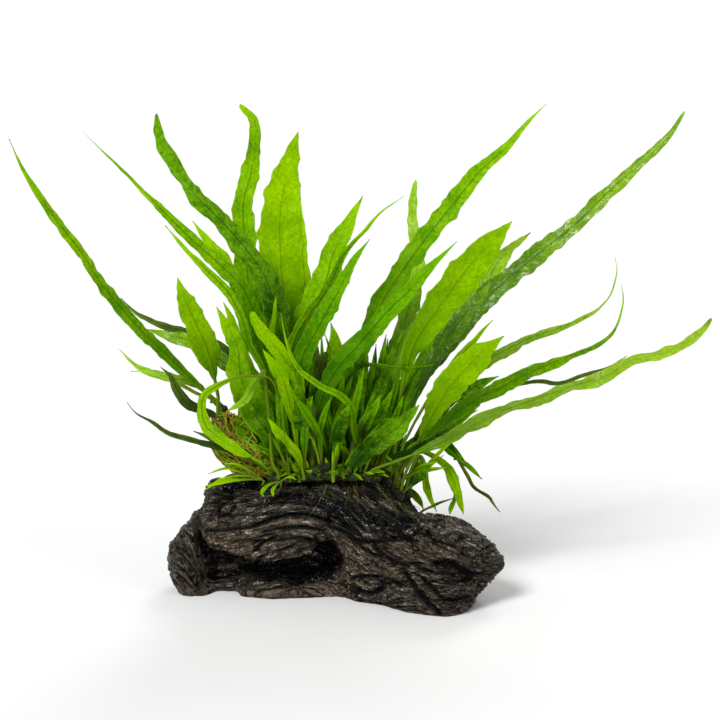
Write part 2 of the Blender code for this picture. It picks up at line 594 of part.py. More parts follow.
def frond_path(frond):
    """The frond's midrib, from its foot to its tip, set back by the depth that it has there."""
    foot = Vector(frond.foot)
    flat = [Vector((foot.x, foot.z))] + [Vector(p) for p in frond.path]
    reach = np.cumsum([0] + [(b - a).length for a, b in zip(flat, flat[1:])])
    points = [foot * MM]
    for (across, up), share in zip(frond.path, reach[1:] / reach[-1]):
        depth = (foot.y + SPREAD * (frond.tip - foot.y) * share ** SET_BACK
                 + frond.bow * math.sin(math.pi * share))
        points.append(seen(across, up, depth))
    return points, reach[-1] * MM


def blade_width(frond, share):
    """The width at this share of the length: a stalk, then a blade that swells and tapers."""
    if share <= frond.stalk:
        return STALK_WIDTH
    along = (share - frond.stalk) / (1 - frond.stalk)
    belly = (frond.belly - frond.stalk) / (1 - frond.stalk)
    swell = math.sin(math.pi * along ** (math.log(0.5) / math.log(belly))) ** SWELL
    stalk = STALK_WIDTH * (1 - along)
    return max(stalk + (frond.width * MM - stalk) * swell, TIP_SIZE)


def add_leaf(bm, path, width_at, turns):
    """A thin leaf along the path: a channel with a thick midrib, four corners at each ring."""
    count = len(path)
    rings = []
    for i, at in enumerate(path):
        share = i / (count - 1)
        along = (path[min(i + 1, count - 1)] - path[max(i - 1, 0)]).normalized()
        front = Vector((0, -1, 0))
        front = (front - front.dot(along) * along).normalized()
        turn = np.interp(share, np.linspace(0, 1, len(turns)), turns)
        front.rotate(Matrix.Rotation(math.radians(turn), 3, along))
        side = along.cross(front)
        half = width_at(share) / 2
        depth = STALK_DEPTH + (BLADE_DEPTH - STALK_DEPTH) * min(1, 3 * share)
        depth = min(depth, 2 * DEPTH_TO_WIDTH * half)
        lift = CHANNEL * half * front
        rings.append((at - half * side + lift, at + depth / 2 * front,
                      at + half * side + lift, at - depth / 2 * front))
    loft(bm, rings)


def build_frond(frond, finish):
    points, reach = frond_path(frond)
    count = max(FEWEST_RINGS, min(MOST_RINGS, round(reach / RING_SPACING)))
    bm = bmesh.new()
    add_leaf(bm, curve_through(points, count), lambda share: blade_width(frond, share),
             frond.turns)
    add_object(frond.name, closed_mesh(frond.name, bm), finish)


def young_leaves():
    """The young leaves, a guide that the creeping stems are joined with."""
    bm = bmesh.new()
    for leaf in YOUNG_LEAVES:
        points, _ = frond_path(leaf)
        add_leaf(bm, curve_through(points, YOUNG_RINGS),
                 lambda share, leaf=leaf: blade_width(leaf, share), leaf.turns)
    return as_cutter(add_object("young_leaves", closed_mesh("young_leaves", bm)))


def grown_together(name, bm, voxel, triangles, finish):
    """The overlapping shapes of bm as one body with about this many triangles."""
    rough = as_cutter(add_object(name + "_rough", closed_mesh(name + "_rough", bm)))
    add_remesh(rough, voxel)
    mesh = evaluated_mesh(rough)
    obj = add_object(name, mesh, finish)
    thin = obj.modifiers.new("Facets", "DECIMATE")
    thin.ratio = triangles / (2 * len(mesh.polygons))
    return obj


def build_rhizome(finish):
    bm = bmesh.new()
    for *points, radius in RHIZOME_RUNS:
        tube(bm, points, radius)
    stems = grown_together("rhizome", bm, STEM_VOXEL, RHIZOME_TRIANGLES, finish)
    sprout = stems.modifiers.new("Young leaves", "BOOLEAN")
    sprout.operation = "UNION"
    sprout.solver = "EXACT"
    sprout.object = young_leaves()


def build_rising_stem(finish):
    bm = bmesh.new()
    tube(bm, RISING_STEM, RISING_RADIUS, sides=8, count=8)
    add_object("rhizome_rising_branch", closed_mesh("rhizome_rising_branch", bm), finish)


def build_roots(finish):
    bm = bmesh.new()
    loft_along_z(bm, ROOT_TUFT)
    grown_together("roots", bm, STEM_VOXEL, ROOT_TRIANGLES, finish)


def build_plantlet(name, leaves, finish):
    """Small leaves that spread from one knob of stem."""
    bm = bmesh.new()
    for points, width in leaves:
        def width_at(share):
            full = PLANTLET_STALK + (width - PLANTLET_STALK) * share
            return MM * full * max(PLANTLET_TIP, min(1, PLANTLET_TAPER * (1 - share)))

        path = curve_through([MM * Vector(p) for p in points], 9)
        add_leaf(bm, path, width_at, PLANTLET_TURNS)
    start = Vector(leaves[0][0][0])
    lean = Vector((2, 0, -0.5))
    tube(bm, (start + lean, start, start - lean), PLANTLET_KNOB, count=6)
    grown_together(name, bm, PLANTLET_VOXEL, PLANTLET_TRIANGLES, finish)


def main():
    clear_scene()
    build_driftwood(material("wet_driftwood", (0.035, 0.027, 0.021), 0.45))
    stem = material("rhizome", (0.07, 0.09, 0.02), 0.5)
    build_rhizome(stem)
    build_rising_stem(stem)
    build_roots(material("roots", (0.16, 0.07, 0.015), 0.6))
    greens = {tone: material("frond_" + tone, color, 0.35) for tone, color in GREENS.items()}
    for frond in FRONDS:
        build_frond(frond, greens[frond.tone])
    build_plantlet("plantlet_left", LEFT_PLANTLET, greens["bright"])
    build_plantlet("plantlet_front", FRONT_PLANTLET, greens["mid"])


main()
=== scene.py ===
"""Java fern on driftwood: a creeping fern with long fronds, grown along a piece of wet driftwood.

Units are metres and +Z is up, and -Y is the front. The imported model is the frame: each piece here
stands for the solids that it names, or grows on them.
"""

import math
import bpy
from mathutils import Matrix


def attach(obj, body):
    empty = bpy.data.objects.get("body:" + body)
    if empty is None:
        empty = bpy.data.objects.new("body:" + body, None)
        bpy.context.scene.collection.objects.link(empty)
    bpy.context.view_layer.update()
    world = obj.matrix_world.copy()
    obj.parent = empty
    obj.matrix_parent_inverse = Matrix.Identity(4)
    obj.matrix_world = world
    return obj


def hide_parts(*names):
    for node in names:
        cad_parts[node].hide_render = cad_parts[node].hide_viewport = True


bl_info = {
    "name": "Java fern on driftwood",
    "version": (1, 0, 0),
    "blender": (4, 5, 0),
    "location": "3D View > Sidebar > Java fern",
    "description": "Finishes a java fern that grows on a piece of driftwood",
    "category": "Object",
}

from collections import namedtuple

import bmesh
import bpy
import numpy as np
from bpy.props import FloatProperty, FloatVectorProperty, PointerProperty
from mathutils import Matrix, Vector, noise
from mathutils.bvhtree import BVHTree

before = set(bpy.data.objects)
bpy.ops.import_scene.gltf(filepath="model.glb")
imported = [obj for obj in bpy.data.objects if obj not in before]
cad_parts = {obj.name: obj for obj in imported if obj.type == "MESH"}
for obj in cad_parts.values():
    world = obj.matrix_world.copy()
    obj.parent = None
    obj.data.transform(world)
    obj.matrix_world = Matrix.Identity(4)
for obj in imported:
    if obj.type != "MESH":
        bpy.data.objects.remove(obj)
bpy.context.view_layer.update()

MM = 0.001

# Front view: the frond points and the marks on the wood are read in it, on the plane y = 0
VIEW_TILT = math.radians(12)
VIEW_RANGE = 1.188
VIEW_LENS = 135
AIM = np.array((0.0088, 0.0, 0.1062))
EYE = AIM + VIEW_RANGE * np.array((0, -math.cos(VIEW_TILT), math.sin(VIEW_TILT)))
FRONT = np.array((0.0, -1.0, 0.0))

# Smooth curves and tubes
CURVE_STEPS = 24

# Blades: sizes of the leaf tissue
RING_SPACING = 0.0010
COLUMN_PLACES = np.array((-1, -0.95, -0.84, -0.68, -0.5, -0.33, -0.19, -0.09, 0, 0.09, 0.19,
                          0.33, 0.5, 0.68, 0.84, 0.95, 1.0))
BLISTER = {"wet": 0.00062, "dark": 0.00040, "pale": 0.00045}
SMOOTH_BLISTER = 0.00026
SCALLOPS = ((0.00046, 0.0105), (0.00060, 0.0044), (0.00040, 0.0023))
RIPPLES = ((0.00110, 0.0120), (0.00080, 0.0052))

# How slim a leaf is beside the solid that it stands for, at its foot and at its tip
SLIM = {"frond_left_arching": (0.30, 1.20), "frond_left_wet_tall": (1.05, 0.35),
        "frond_left_dark_tall": (0.96, 0.80), "frond_centre_right_thin": (0.80, 0.60),
        "frond_right_dark_tall": (1.0, 0.95), "frond_right_crossing": (0.92, 0.85),
        "frond_right_long_dark": (0.92, 0.46), "frond_right_lower_1": (1.40, 0.50),
        "frond_right_lower_2": (1.25, 0.45), "frond_front_arching": (0.80, 0.80),
        "frond_right_lowest": (0.90, 0.78), "frond_right_back_pale": (1.2, 1.8),
        "frond_right_pale_back": (1.0, 0.66), "frond_centre_back": (1.1, 0.30),
        "frond_centre_broad": (0.96, 1.34), "frond_on_the_wood": (1.6, 1.5),
        "frond_centre_left_tall": (1.0, 0.74), "young_broad": (0.8, 0.7),
        "young_slender": (0.8, 0.7), "young_bright_left": (0.8, 0.7),
        "young_drooping_tongue": (0.8, 0.7), "young_back_2": (0.8, 0.6),
        "plantlet_left": (0.62, 0.62),
        "plantlet_front": (0.70, 0.70)}

# Leaves with a rounded tip
BLUNT_TIPS = ("frond_left_dark_tall", "frond_right_pale_back", "frond_front_blunt",
              "frond_front_rolled", "frond_centre_brown_blunt", "frond_right_lowest",
              "frond_centre_left_tall", "frond_right_long_dark")
BLUNT_SWELL = 0.34
STALK_WIDTH = 0.0015
CHANNEL = 0.16
TIP_SIZE = 0.0004
SET_BACK = 1.4
SPREAD = 1.6
SWELL = 0.8
TIP_SWELL = 0.92
RIB_REACH = 0.00055

# A blade's rib and skin, and the half width at which its relief is full, in metres
RIB_HEIGHT = 0.00048
SKIN_THICKNESS = 0.00011
FULL_RELIEF = 0.0042

# Widths in millimetres up to which a blade is built of fewer columns
BROAD_FROND = 5.2
NARROW_LEAF = 3

# Spacing of points along a stem and mesh size of the stems, in metres
STEM_SPACING = 0.001
STEM_VOXEL = 0.00042

# The frond's foot goes this far down into the stem that it grows from
FOOT_DEPTH = 0.0022

# Plantlets: the turns of their leaves in degrees
PLANTLET_TURNS = (60, 40)

# Roots: how many strands of each kind
ROOT_SEED = 11
ROOT_STRANDS = 420
WOOD_ROOTS = 190
STEM_HAIRS = 420

# Leaves whose green differs from that of the solid
SHADES = {"frond_front_arching": "mid", "frond_left_wet_tall": "mid",
          "frond_right_lower_1": "pale", "frond_right_lowest": "pale",
          "frond_right_dark_tall": "mid", "frond_centre_right_bright": "green",
          "frond_left_dark_broad": "mid", "frond_left_arching": "mid",
          "frond_left_pale_thin": "mid", "frond_right_crossing": "green",
          "frond_on_the_wood": "bright"}
# Young leaves take deeper greens, partly their own colour and partly painted shade at the crowded foot
# of the plant
YOUNG_SHADES = {"bright": "green", "mid": "green"}
YOUNG_SLOTS = {"green": "mid"}

# Seeded leaves on the stems. Each kind: how many, the stems that they grow on, lengths,
# widths, how far they lean out and forward, how far they bend, the share that is stalk, and
# their greens. Lengths and widths are in millimetres.
SPROUT_SEED = 23
FIRST_SPROUT = 300
Crowd = namedtuple("Crowd", "count runs lengths widths lean forward bend stalk tones")
# Painted shade in part: the first crowd, low in the middle of the plant, takes only the deeper greens
CROWDS = (
    Crowd(130, (1, 1, 2, 2, 3), (32, 64), (3.0, 6.2), (0.15, 1.1), 0.05, 0.16, 0.05,
          ("dark", "green", "dark", "green", "dark")),
    Crowd(74, (0, 1, 2, 3, 4, 5, 6, 7, 8), (10, 30), (1.6, 3.4), (0.3, 1.4), 0.0, 0.34, 0.28,
          ("mid", "dark", "dark", "bright", "brown")),
    Crowd(30, (0,), (4, 12), (1.0, 2.2), (0.3, 1.4), 0.6, 0.5, 0.2, ("mid", "dark", "bright")),
)
SPROUT_MIDDLE = np.array((-0.004, 0.004))
CROWD_LEFT = -0.023

# Swollen end of the old stem that rises at the front
OLD_STEM = ((-23, -9, 55.4), (-15, -10.4, 57.4), (-9, -10.8, 59.4), (-4.5, -10.2, 61.2), 2.2)

# Studio, in metres
FLOOR_REACH = 9.0
KEY_PLACE = (-0.55, -0.75, 1.05)
FILL_PLACE = (0.85, -0.55, 0.55)
BACK_PLACE = (0.25, 0.85, 0.75)

WOOD_NODES = ("driftwood_log", "driftwood_left_arm")

# Fork in the wood: the arm's copy moves this far to close the gap
ARM_CLOSE = Vector((0.00045, 0, 0))

# The arm begins this far left, in millimetres, and its grain is this much shorter
ARM_START = 61
ARM_GRAIN = 3.0

# Height of one grain line in the front view: across and up, in millimetres
GRAIN_LEVEL = 20
GRAIN_LINE = ((-95, 22), (-60, 28.2), (-51, 28.9), (-38, 30.8), (-28, 34), (-20, 35.4),
              (-12, 34.9), (-4, 31.5), (2, 27.3), (7, 24.1), (11, 19.6), (18, 15.7), (29, 10.5),
              (40, 4), (52, -2), (64, -7), (80, -12))

# Hollows cut by water, in the front view: half width, depth, then points, in millimetres
GROOVES = (
    (0.8, 1.3, (-48, 45.7), (-49, 43), (-53, 40.9), (-54, 38.1), (-55, 34.9), (-52, 34.9),
     (-49, 37), (-47, 39.8)),
    (1.0, 1.8, (-42.5, 42.3), (-41.5, 42.8)),
    (2.2, 3.4, (-50, 48.3), (-45, 50), (-38, 51)),
    (1.9, 1.5, (-35, 43), (-28, 45.3), (-15, 44.1), (-7, 41.6), (2, 40.9)),
    (0.7, 0.8, (-33, 41), (-24, 41.8), (-13, 40.3), (-4, 37.5)),
    (0.7, 1.2, (-60, 28.2), (-51, 28.9), (-38, 30.8), (-28, 34.9), (-20, 35.4), (-12, 34.9),
     (-4, 32.8)),
    (0.7, 1.5, (-34, 27.8), (-28, 29.4), (-21, 30.1), (-13, 29.7), (-7, 28.3)),
    (0.8, 1.0, (-39, 23.4), (-30, 24.1), (-18, 25), (-10, 24.1)),
    (0.35, 0.9, (-27, 20), (-26.8, 16.9)),
    (0.5, 0.9, (-39, 22.2), (-37, 19.6)),
    (0.9, 1.8, (-71.3, 26.1), (-70.6, 26.2)),
    (4.6, 2.6, (-2, 38), (8, 35.5), (18, 33), (27, 30)),
    (1.3, 1.5, (2, 27.8), (7, 24.6), (14, 23.4), (25, 25), (32, 27.3), (36, 30.1)),
    (1.0, 1.9, (14, 22.9), (18, 18.5), (23, 14.3), (30, 11.6)),
    (1.2, 2.4, (29, 8.8), (33, 2.2), (37, -3.4), (44, -9.9)),
    (1.1, 1.7, (37, 5.5), (42, 0.8), (46, -3.4), (52, -3.8), (58, -2.4)),
    (1.7, 2.6, (43, 13.2), (49, 13), (54, 10.8), (59, 7.6)),
    (0.9, 1.5, (5, 6.4), (13, 7.5), (21, 5.5), (27, 3.2)),
    (1.2, 1.6, (5, 1.5), (13, -1.2), (19, 2.2)),
    (0.8, 1.0, (-5, 30.5), (2, 27.3), (7, 24.1), (11, 19.6), (18, 15.7)),
    (0.8, 1.3, (17, 51.5), (20.5, 45.6), (26.5, 38.6), (31, 34.4), (35, 31.8)),
    (0.8, 1.0, (46, 6), (51, 5.2), (56, 4.6)),
    (0.7, 0.9, (44, 9.4), (50, 8.2), (57, 8.8)),
)

# Edges and bulges that stand proud, given in the same way
RIDGES = (
    (1.4, 0.9, (-40, 27.8), (-28, 32.4), (-18, 33.4), (-10, 30.9), (-2, 26.8)),
    (1.5, 0.9, (-57, 24.1), (-50, 20.8), (-40, 18), (-34, 15.2), (-27, 17.6), (-18, 19.9)),
    (1.1, 1.0, (15, 53.1), (19, 46.8), (25, 39.9), (29, 35.8), (34, 33)),
    (1.6, 1.0, (42, 16.6), (48, 16.6), (54, 14.4), (60, 10.9), (63, 9.4)),
    (1.5, 0.8, (3, 19.5), (12, 14.6), (22, 10), (29, 7)),
    (1.4, 0.7, (37, 34.7), (44, 32.4), (53, 28.7), (61, 22.7)),
    (1.2, 0.6, (-62, 12), (-59, 11.4), (-66, 4)),
)

# Colour of the wood and painted shadow, given in the same way: kind, radius, strength, points. The
# near-black kind is painted shadow in grooves and under ledges.
STAINS_AND_SHADOWS = (
    ("brown", 3.0, 1.0, (-58, 24.1), (-50, 20.8), (-40, 18), (-34, 14.8), (-27, 17.6),
     (-18, 19.9), (-11, 22)),
    ("brown", 1.6, 1.0, (-40, 28.6), (-28, 32.6), (-18, 34), (-10, 31.4), (-2, 27)),
    ("brown", 3.4, 0.75, (-58, 46), (-57, 36), (-57, 27)),
    ("brown", 4.5, 0.6, (4, 20), (14, 14), (26, 9)),
    ("brown", 2.2, 0.55, (-1, 42.5), (11, 41.1), (24, 38.8)),
    ("brown", 5, 0.4, (24, 24), (36, 20), (50, 18)),
    ("moss", 4.6, 1.0, (-18, 50), (-4, 49.6), (9, 48.6), (15, 45.5)),
    ("moss", 2.6, 0.5, (-54, 43), (-44, 46), (-30, 48)),
    ("black", 4.4, 1.0, (-59, 17), (-54, 10), (-46, 7.5)),
    ("black", 5.5, 1.0, (-9, 39.5), (0, 37), (9, 35), (19, 32.5), (28, 30)),
    ("black", 2.4, 0.9, (-51, 48.6), (-44, 50.5), (-38, 51.5)),
    ("black", 2.2, 0.7, (-34, 43.2), (-26, 45), (-15, 43.8), (-6, 41)),
    ("black", 4.5, 0.55, (44, 8), (52, 4), (50, -4)),
    ("black", 3.4, 0.8, (24, 46), (30, 40), (35, 35)),
    ("grey", 3.4, 0.75, (18, 2.0), (30, -1), (41, -4)),
    ("grey", 2.6, 1.0, (15, 28.4), (21, 28.2)),
    ("grey", 5.5, 0.7, (-74, 12), (-73, 22), (-67, 30)),
    ("grey", 3.2, 0.8, (38, 33), (48, 30), (58, 23)),
    ("grey", 3.0, 0.5, (-46, 38), (-36, 36), (-24, 38)),
)

# Creeping stems: points and radius, in millimetres
RHIZOME_RUNS = (
    ((-31, -9, 54.6), (-18, -11, 55.6), (-4, -9, 55.6), (8, -9, 55.6), (17, -6, 54.2), 1.9),
    ((-31, 1, 55.0), (-16, -1, 55.6), (0, 0, 55.8), (12, 2, 56.0), (21, 4, 52.6), 2.7),
    ((-29, 9, 55.2), (-14, 10, 55.6), (2, 9, 55.8), (12, 12, 56), (20, 14, 53.4), 2.5),
    ((-28, 17, 54.8), (-12, 17, 55.4), (3, 16, 55.6), (15, 15, 55.4), 2.2),
    ((-22, -10, 55.4), (-20, 4, 55.6), (-18, 17, 55.2), 2.2),
    ((3, -9, 55.6), (5, 4, 55.8), (3, 16, 55.6), 2.2),
    ((12, 2, 55.6), (21, 4, 51.6), (26, 5, 47.6), (29, 7, 44.4), (30.5, 13, 41.4), 2.0),
    ((14, 15, 55), (21, 16.5, 49.8), (25.5, 17.5, 44.4), (28, 17, 42), 1.8),
    ((21, 4, 51.6), (25, 0, 47.4), (27.6, -2, 44.8), 1.7),
)
RISING_STEM = ((-30, 3, 55.2), (-35, 2, 58.5), (-39, 1, 63), (-45, 2, 70), (-49, 3, 77),
               (-52, 3.2, 83.6))
RISING_RADIUS = 2.1

# The tuft of roots under the rising stem: z, left, right, front and back, in millimetres
ROOT_TUFT = (
    (55, -43, -36, -4, 6),
    (60, -48, -38.5, -5.5, 8),
    (64, -51, -41, -5.5, 9),
    (68, -53.5, -44, -5, 8),
    (74, -55.5, -47, -4, 7),
)

Frond = namedtuple("Frond", "name foot path tip bow width turns stalk belly tone")

# Each frond: its foot (x, y, z), the points (across, up) that its midrib passes in the front
# view from foot to tip, the depth of its tip, how far it bows back, its greatest width, its
# turns in degrees from foot to tip, the share of its length that is stalk, where along it the
# blade is widest, and its green. Lengths are in millimetres.
FRONDS = (
    Frond("frond_far_left", (-53, 1, 83.5),
          ((-60, 92), (-73, 105), (-88, 120), (-99, 133), (-106, 142), (-113, 154), (-126, 172),
           (-137, 190), (-143, 204)), -22, 0, 6.0, (10, 15, 45, 25, 50), 0.08, 0.45, "mid"),
    Frond("frond_left_wet_tall", (-24, 7.5, 58.5),
          ((-28, 88), (-34, 113), (-39, 130), (-44, 140), (-55, 151), (-70, 165), (-94, 190),
           (-103, 199), (-111, 207)), 24, 0, 9.5, (20, 25, 30, 40), 0.15, 0.42, "wet"),
    Frond("frond_left_dark_tall", (-20, 2, 58.5),
          ((-23, 88), (-26, 115), (-29, 133), (-34, 146), (-45, 161), (-55, 172), (-62, 179),
           (-70, 191), (-76, 201), (-79, 215)), -6, 0, 11.5, (-10, -15, -20, -30), 0.15, 0.5,
          "dark"),
    Frond("frond_centre_left_tall", (-24, 14, 57.5),
          ((-28, 84), (-34, 111), (-39, 133), (-41, 150), (-42, 166), (-42, 177), (-38, 193),
           (-37, 210), (-43, 219)), 38, 0, 11.5, (15, 15, 10, 40), 0.2, 0.55, "mid"),
    Frond("frond_centre_broad", (-17, 7, 58.5),
          ((-20, 84), (-22, 111), (-25, 138), (-26, 155), (-26, 171), (-23, 189), (-18, 207)),
          12, 0, 17.5, (10, 12, 8), 0.25, 0.6, "bright"),
    Frond("frond_centre_back", (-12, 15, 57.5),
          ((-14, 88), (-13, 115), (-15, 138), (-17, 166), (-18, 190)), 42, 0, 9.5, (-15, -25),
          0.25, 0.6, "bright"),
    Frond("frond_centre_glossy", (-10, 11.5, 58.3),
          ((-11, 84), (-12, 102), (-15, 120), (-19, 133), (-24, 145)), 20, 0, 10.0, (20, 30),
          0.2, 0.62, "wet"),
    Frond("frond_centre_right_tall", (-14, 4.4, 58.5),
          ((-17, 79), (-18, 102), (-14, 122), (-6, 142), (-3, 153), (3, 165), (10, 179)),
          6, 0, 13.0, (-12, -20, -30), 0.2, 0.6, "mid"),
    Frond("frond_centre_right_thin", (-19, -1.4, 58.5),
          ((-24, 88), (-21, 113), (-13, 128), (-7, 136), (2, 154), (11, 164), (18, 172),
           (28, 179)), -12, 0, 6.5, (20, 25, 40), 0.3, 0.5, "mid"),
    Frond("frond_centre_right_bright", (-17, -3.8, 58.5),
          ((-19, 84), (-17, 105), (-12, 116), (-6, 127), (0, 138), (6, 150), (13, 160)),
          -15, 0, 9.5, (-20, -25, -35), 0.2, 0.55, "bright"),
    Frond("frond_left_pale_thin", (-27, -13.2, 57.6),
          ((-30, 60), (-31, 73), (-32, 87), (-34, 102), (-40, 113), (-43, 124), (-47, 133),
           (-52, 140), (-65, 153), (-76, 166)), 0, 0, 4.4, (0, 10, 30, 20), 0.36, 0.6, "pale"),
    Frond("frond_left_back_bright", (-26, 17.5, 57.2),
          ((-29, 84), (-36, 115), (-44, 135), (-50, 150), (-56, 157), (-64, 168)), 34, 0, 5.4,
          (20, 25), 0.35, 0.75, "bright"),
    Frond("frond_left_short_broad", (-54, -2.2, 83.5),
          ((-54, 90), (-56, 101), (-59, 112), (-64, 124), (-68, 133), (-71, 143)), -18, 0, 11.5,
          (20, 20, 10), 0.22, 0.58, "bright"),
    Frond("frond_left_dark_broad", (-27, -5, 58.5),
          ((-31, 72), (-40, 88), (-44, 99), (-45, 111), (-49, 120), (-54, 130)), -10, 0, 13.0,
          (15, 15, 25), 0.1, 0.45, "dark"),
    Frond("frond_left_folded_bright", (-29, 4.4, 58.5),
          ((-34, 88), (-41, 106), (-46, 117), (-48, 125), (-51, 132)), 8, 0, 5.0, (20, 20),
          0.4, 0.75, "bright"),
    Frond("frond_left_brown_narrow", (-30, 10, 58.3),
          ((-35, 81), (-44, 104), (-54, 113), (-69, 119), (-79, 122), (-89, 127), (-96, 134)),
          22, 0, 4.4, (30, 40), 0.3, 0.6, "brown"),
    Frond("frond_left_grey_wet", (-31, 0, 58.5),
          ((-34, 75), (-40, 90), (-49, 103), (-65, 114), (-75, 117), (-85, 120)), 5, 0, 7.0,
          (25, 35), 0.35, 0.7, "wet"),
    Frond("frond_left_low_thin", (-52.5, 5.2, 84.5),
          ((-57, 90), (-65, 96), (-79, 99), (-89, 103), (-97, 111)), 16, 0, 4.2, (20, 30),
          0.2, 0.45, "pale"),
    Frond("frond_left_brown_curved", (-51, -1.4, 79),
          ((-54, 80.5), (-62, 84), (-68, 87), (-72, 93), (-75, 99), (-79, 103)), -14, 0, 4.4,
          (20, 10, 40), 0.1, 0.45, "brown"),
    Frond("frond_left_dark_low", (-34, -7, 59.5),
          ((-47, 65), (-55, 67), (-66, 70), (-76, 73), (-83, 78), (-90, 82), (-94, 87)),
          -18, 0, 2.6, (20, 30), 0.2, 0.4, "brown"),
    Frond("frond_left_arching", (-22, -15, 56.8),
          ((-25, 75), (-27.5, 90), (-31, 98), (-38, 99), (-46, 98), (-55, 94), (-60, 90),
           (-61, 83), (-59, 76), (-52, 70), (-45, 65), (-38, 62)), -13, -5, 6.2,
          (0, 0, 5, 30, 10, 10), 0.3, 0.8, "pale"),
    Frond("frond_left_small_drooping", (-33, -11.6, 104),
          ((-38, 95), (-42, 88), (-50, 83)), -13, 0, 3.6, (10, 20), 0.1, 0.5, "pale"),
    Frond("frond_front_blunt", (-15, -8.6, 58.5),
          ((-18, 79), (-19, 97), (-24, 106), (-29, 113), (-35, 120), (-39, 128)), -13.5, 0, 6.5,
          (10, 15), 0.15, 0.65, "bright"),
    Frond("frond_front_rolled", (-23, -4.6, 58.5),
          ((-24, 75), (-27, 99), (-30, 116), (-29, 126), (-28, 135)), -8.5, 0, 4.0, (30, 50),
          0.2, 0.7, "mid"),
    Frond("frond_front_arching", (9, -4.6, 58.8),
          ((8, 66), (6, 75), (5, 84), (0, 90), (-8, 94), (-15, 99), (-19, 103), (-22, 109),
           (-24, 116), (-26, 127)), -18, -7, 4.2, (30, 40, 40, 50), 0.1, 0.35, "wet"),
    Frond("frond_front_left_bright", (-18.5, -11.4, 58.2),
          ((-20, 75), (-23, 89), (-26, 99), (-30, 105), (-34, 111)), -17, 0, 5.6, (10, 15),
          0.15, 0.7, "bright"),
    Frond("frond_front_left_blunt", (-16, -13.8, 57.6),
          ((-19, 63), (-25, 70), (-32, 80)), -16, 0, 4.8, (10, 10), 0.1, 0.6, "bright"),
    Frond("frond_centre_brown_blunt", (-11, 0.8, 58.6),
          ((-13, 75), (-12, 94), (-9, 102), (-6, 110)), -1, 0, 5.0, (10, 15), 0.15, 0.7, "brown"),
    Frond("frond_centre_behind_bright", (-6, 13.4, 58.2),
          ((-6, 75), (-4, 97), (-2, 112), (-4, 123)), 26, 0, 9.0, (-10, -20), 0.15, 0.6,
          "bright"),
    Frond("frond_centre_dark_1", (-9, 6.6, 58.7),
          ((-10, 70), (-11, 88), (-14, 104)), 10, 0, 9.0, (10, 25), 0.1, 0.58, "dark"),
    Frond("frond_centre_dark_2", (-3, 8.4, 58.7),
          ((-4, 70), (-1, 84), (2, 95)), 11, 0, 13.0, (-10, -15), 0.1, 0.55, "mid"),
    Frond("frond_centre_dark_3", (4, 17, 58),
          ((2, 75), (4, 90), (9, 110)), 24, 0, 11.0, (-10, -25), 0.1, 0.55, "dark"),
    Frond("frond_right_dark_tall", (7, 11.6, 58.7),
          ((7, 80), (9, 99), (12, 115), (17, 128), (22, 138), (35, 157), (49, 175), (61, 190),
           (73, 201), (81, 211), (89, 219)), 32, 0, 10.5, (-15, -20, -30), 0.25, 0.5, "dark"),
    Frond("frond_right_pale_back", (13, 15.6, 58),
          ((16, 70), (19, 88), (24, 106), (30, 128), (34, 148), (32, 164), (32, 175),
           (33, 186)), 44, 0, 10.5, (-10, -20, -35), 0.1, 0.45, "pale"),
    Frond("frond_right_crossing", (-11, -3.6, 58.6),
          ((-12, 72), (-8, 88), (-2, 101), (9, 114), (20, 127), (31, 138), (41, 149),
           (51, 159)), -16, 0, 10.5, (-15, -20, -30), 0.12, 0.5, "mid"),
    Frond("frond_right_broad_bright", (22, 3.8, 52),
          ((24, 63), (26, 85), (29, 101), (32, 112), (37, 121), (49, 138), (57, 149),
           (64, 157), (75, 168)), -16, 0, 17.0, (10, 10, 12, 20), 0.3, 0.72, "bright"),
    Frond("frond_right_back_pale", (18, 18, 56),
          ((23, 75), (31, 97), (40, 115), (47, 124), (56, 133), (64, 140), (68, 149),
           (73, 155), (83, 163)), 36, 0, 6.5, (20, 30), 0.3, 0.7, "pale"),
    Frond("frond_right_long_dark", (20, 10, 56),
          ((27, 70), (34, 93), (44, 109), (55, 124), (66, 136), (87, 154), (104, 168),
           (118, 182), (132, 195), (143, 206), (149, 216)), 16, 0, 12.0, (-15, -20, -35),
          0.2, 0.45, "wet"),
    Frond("frond_right_folded_wet", (19.5, 6, 57),
          ((26, 70), (33, 90), (43, 110), (51, 122), (59, 132), (66, 141)), 4.5, 0, 9.5,
          (15, 25), 0.25, 0.72, "wet"),
    Frond("frond_right_lower_1", (24, 13, 51.5),
          ((30, 65), (38, 81), (48, 95), (63, 105), (73, 111), (85, 117), (97, 121), (110, 127),
           (116, 132), (119, 137), (121, 146), (120, 152)), 22, 0, 7.0, (30, 35, 50), 0.25,
          0.5, "wet"),
    Frond("frond_right_lower_2", (29, 5.5, 46.5),
          ((33, 60), (38, 70), (46, 77), (54, 85), (70, 94), (84, 101), (95, 106), (106, 110),
           (115, 114), (121, 121), (124, 132), (123, 140)), -12, 0, 9.0, (20, 30, 45), 0.15,
          0.45, "mid"),
    Frond("frond_right_lowest", (14, -9, 58.6),
          ((24, 60), (36, 65), (51, 73), (66, 81), (84, 88), (100, 94), (116, 99), (128, 106),
           (140, 109), (150, 113), (158, 119), (163, 125)), -30, 0, 9.5, (25, 30, 40, 20), 0.12,
          0.42, "mid"),
    Frond("frond_right_dark_narrow", (26, 16, 48),
          ((29, 63), (40, 74), (53, 83), (66, 91), (77, 95), (88, 97), (96, 96), (106, 99),
           (118, 103), (126, 108)), 14, 0, 3.4, (30, 40), 0.3, 0.7, "brown"),
    Frond("frond_right_bullate", (27, 9.4, 48.5),
          ((30, 65), (38, 75), (44, 83), (51, 90), (62, 96), (70, 99)), 6, 0, 7.0, (20, 30),
          0.25, 0.68, "dark"),
    Frond("frond_right_front_bright", (27, -1, 46.5),
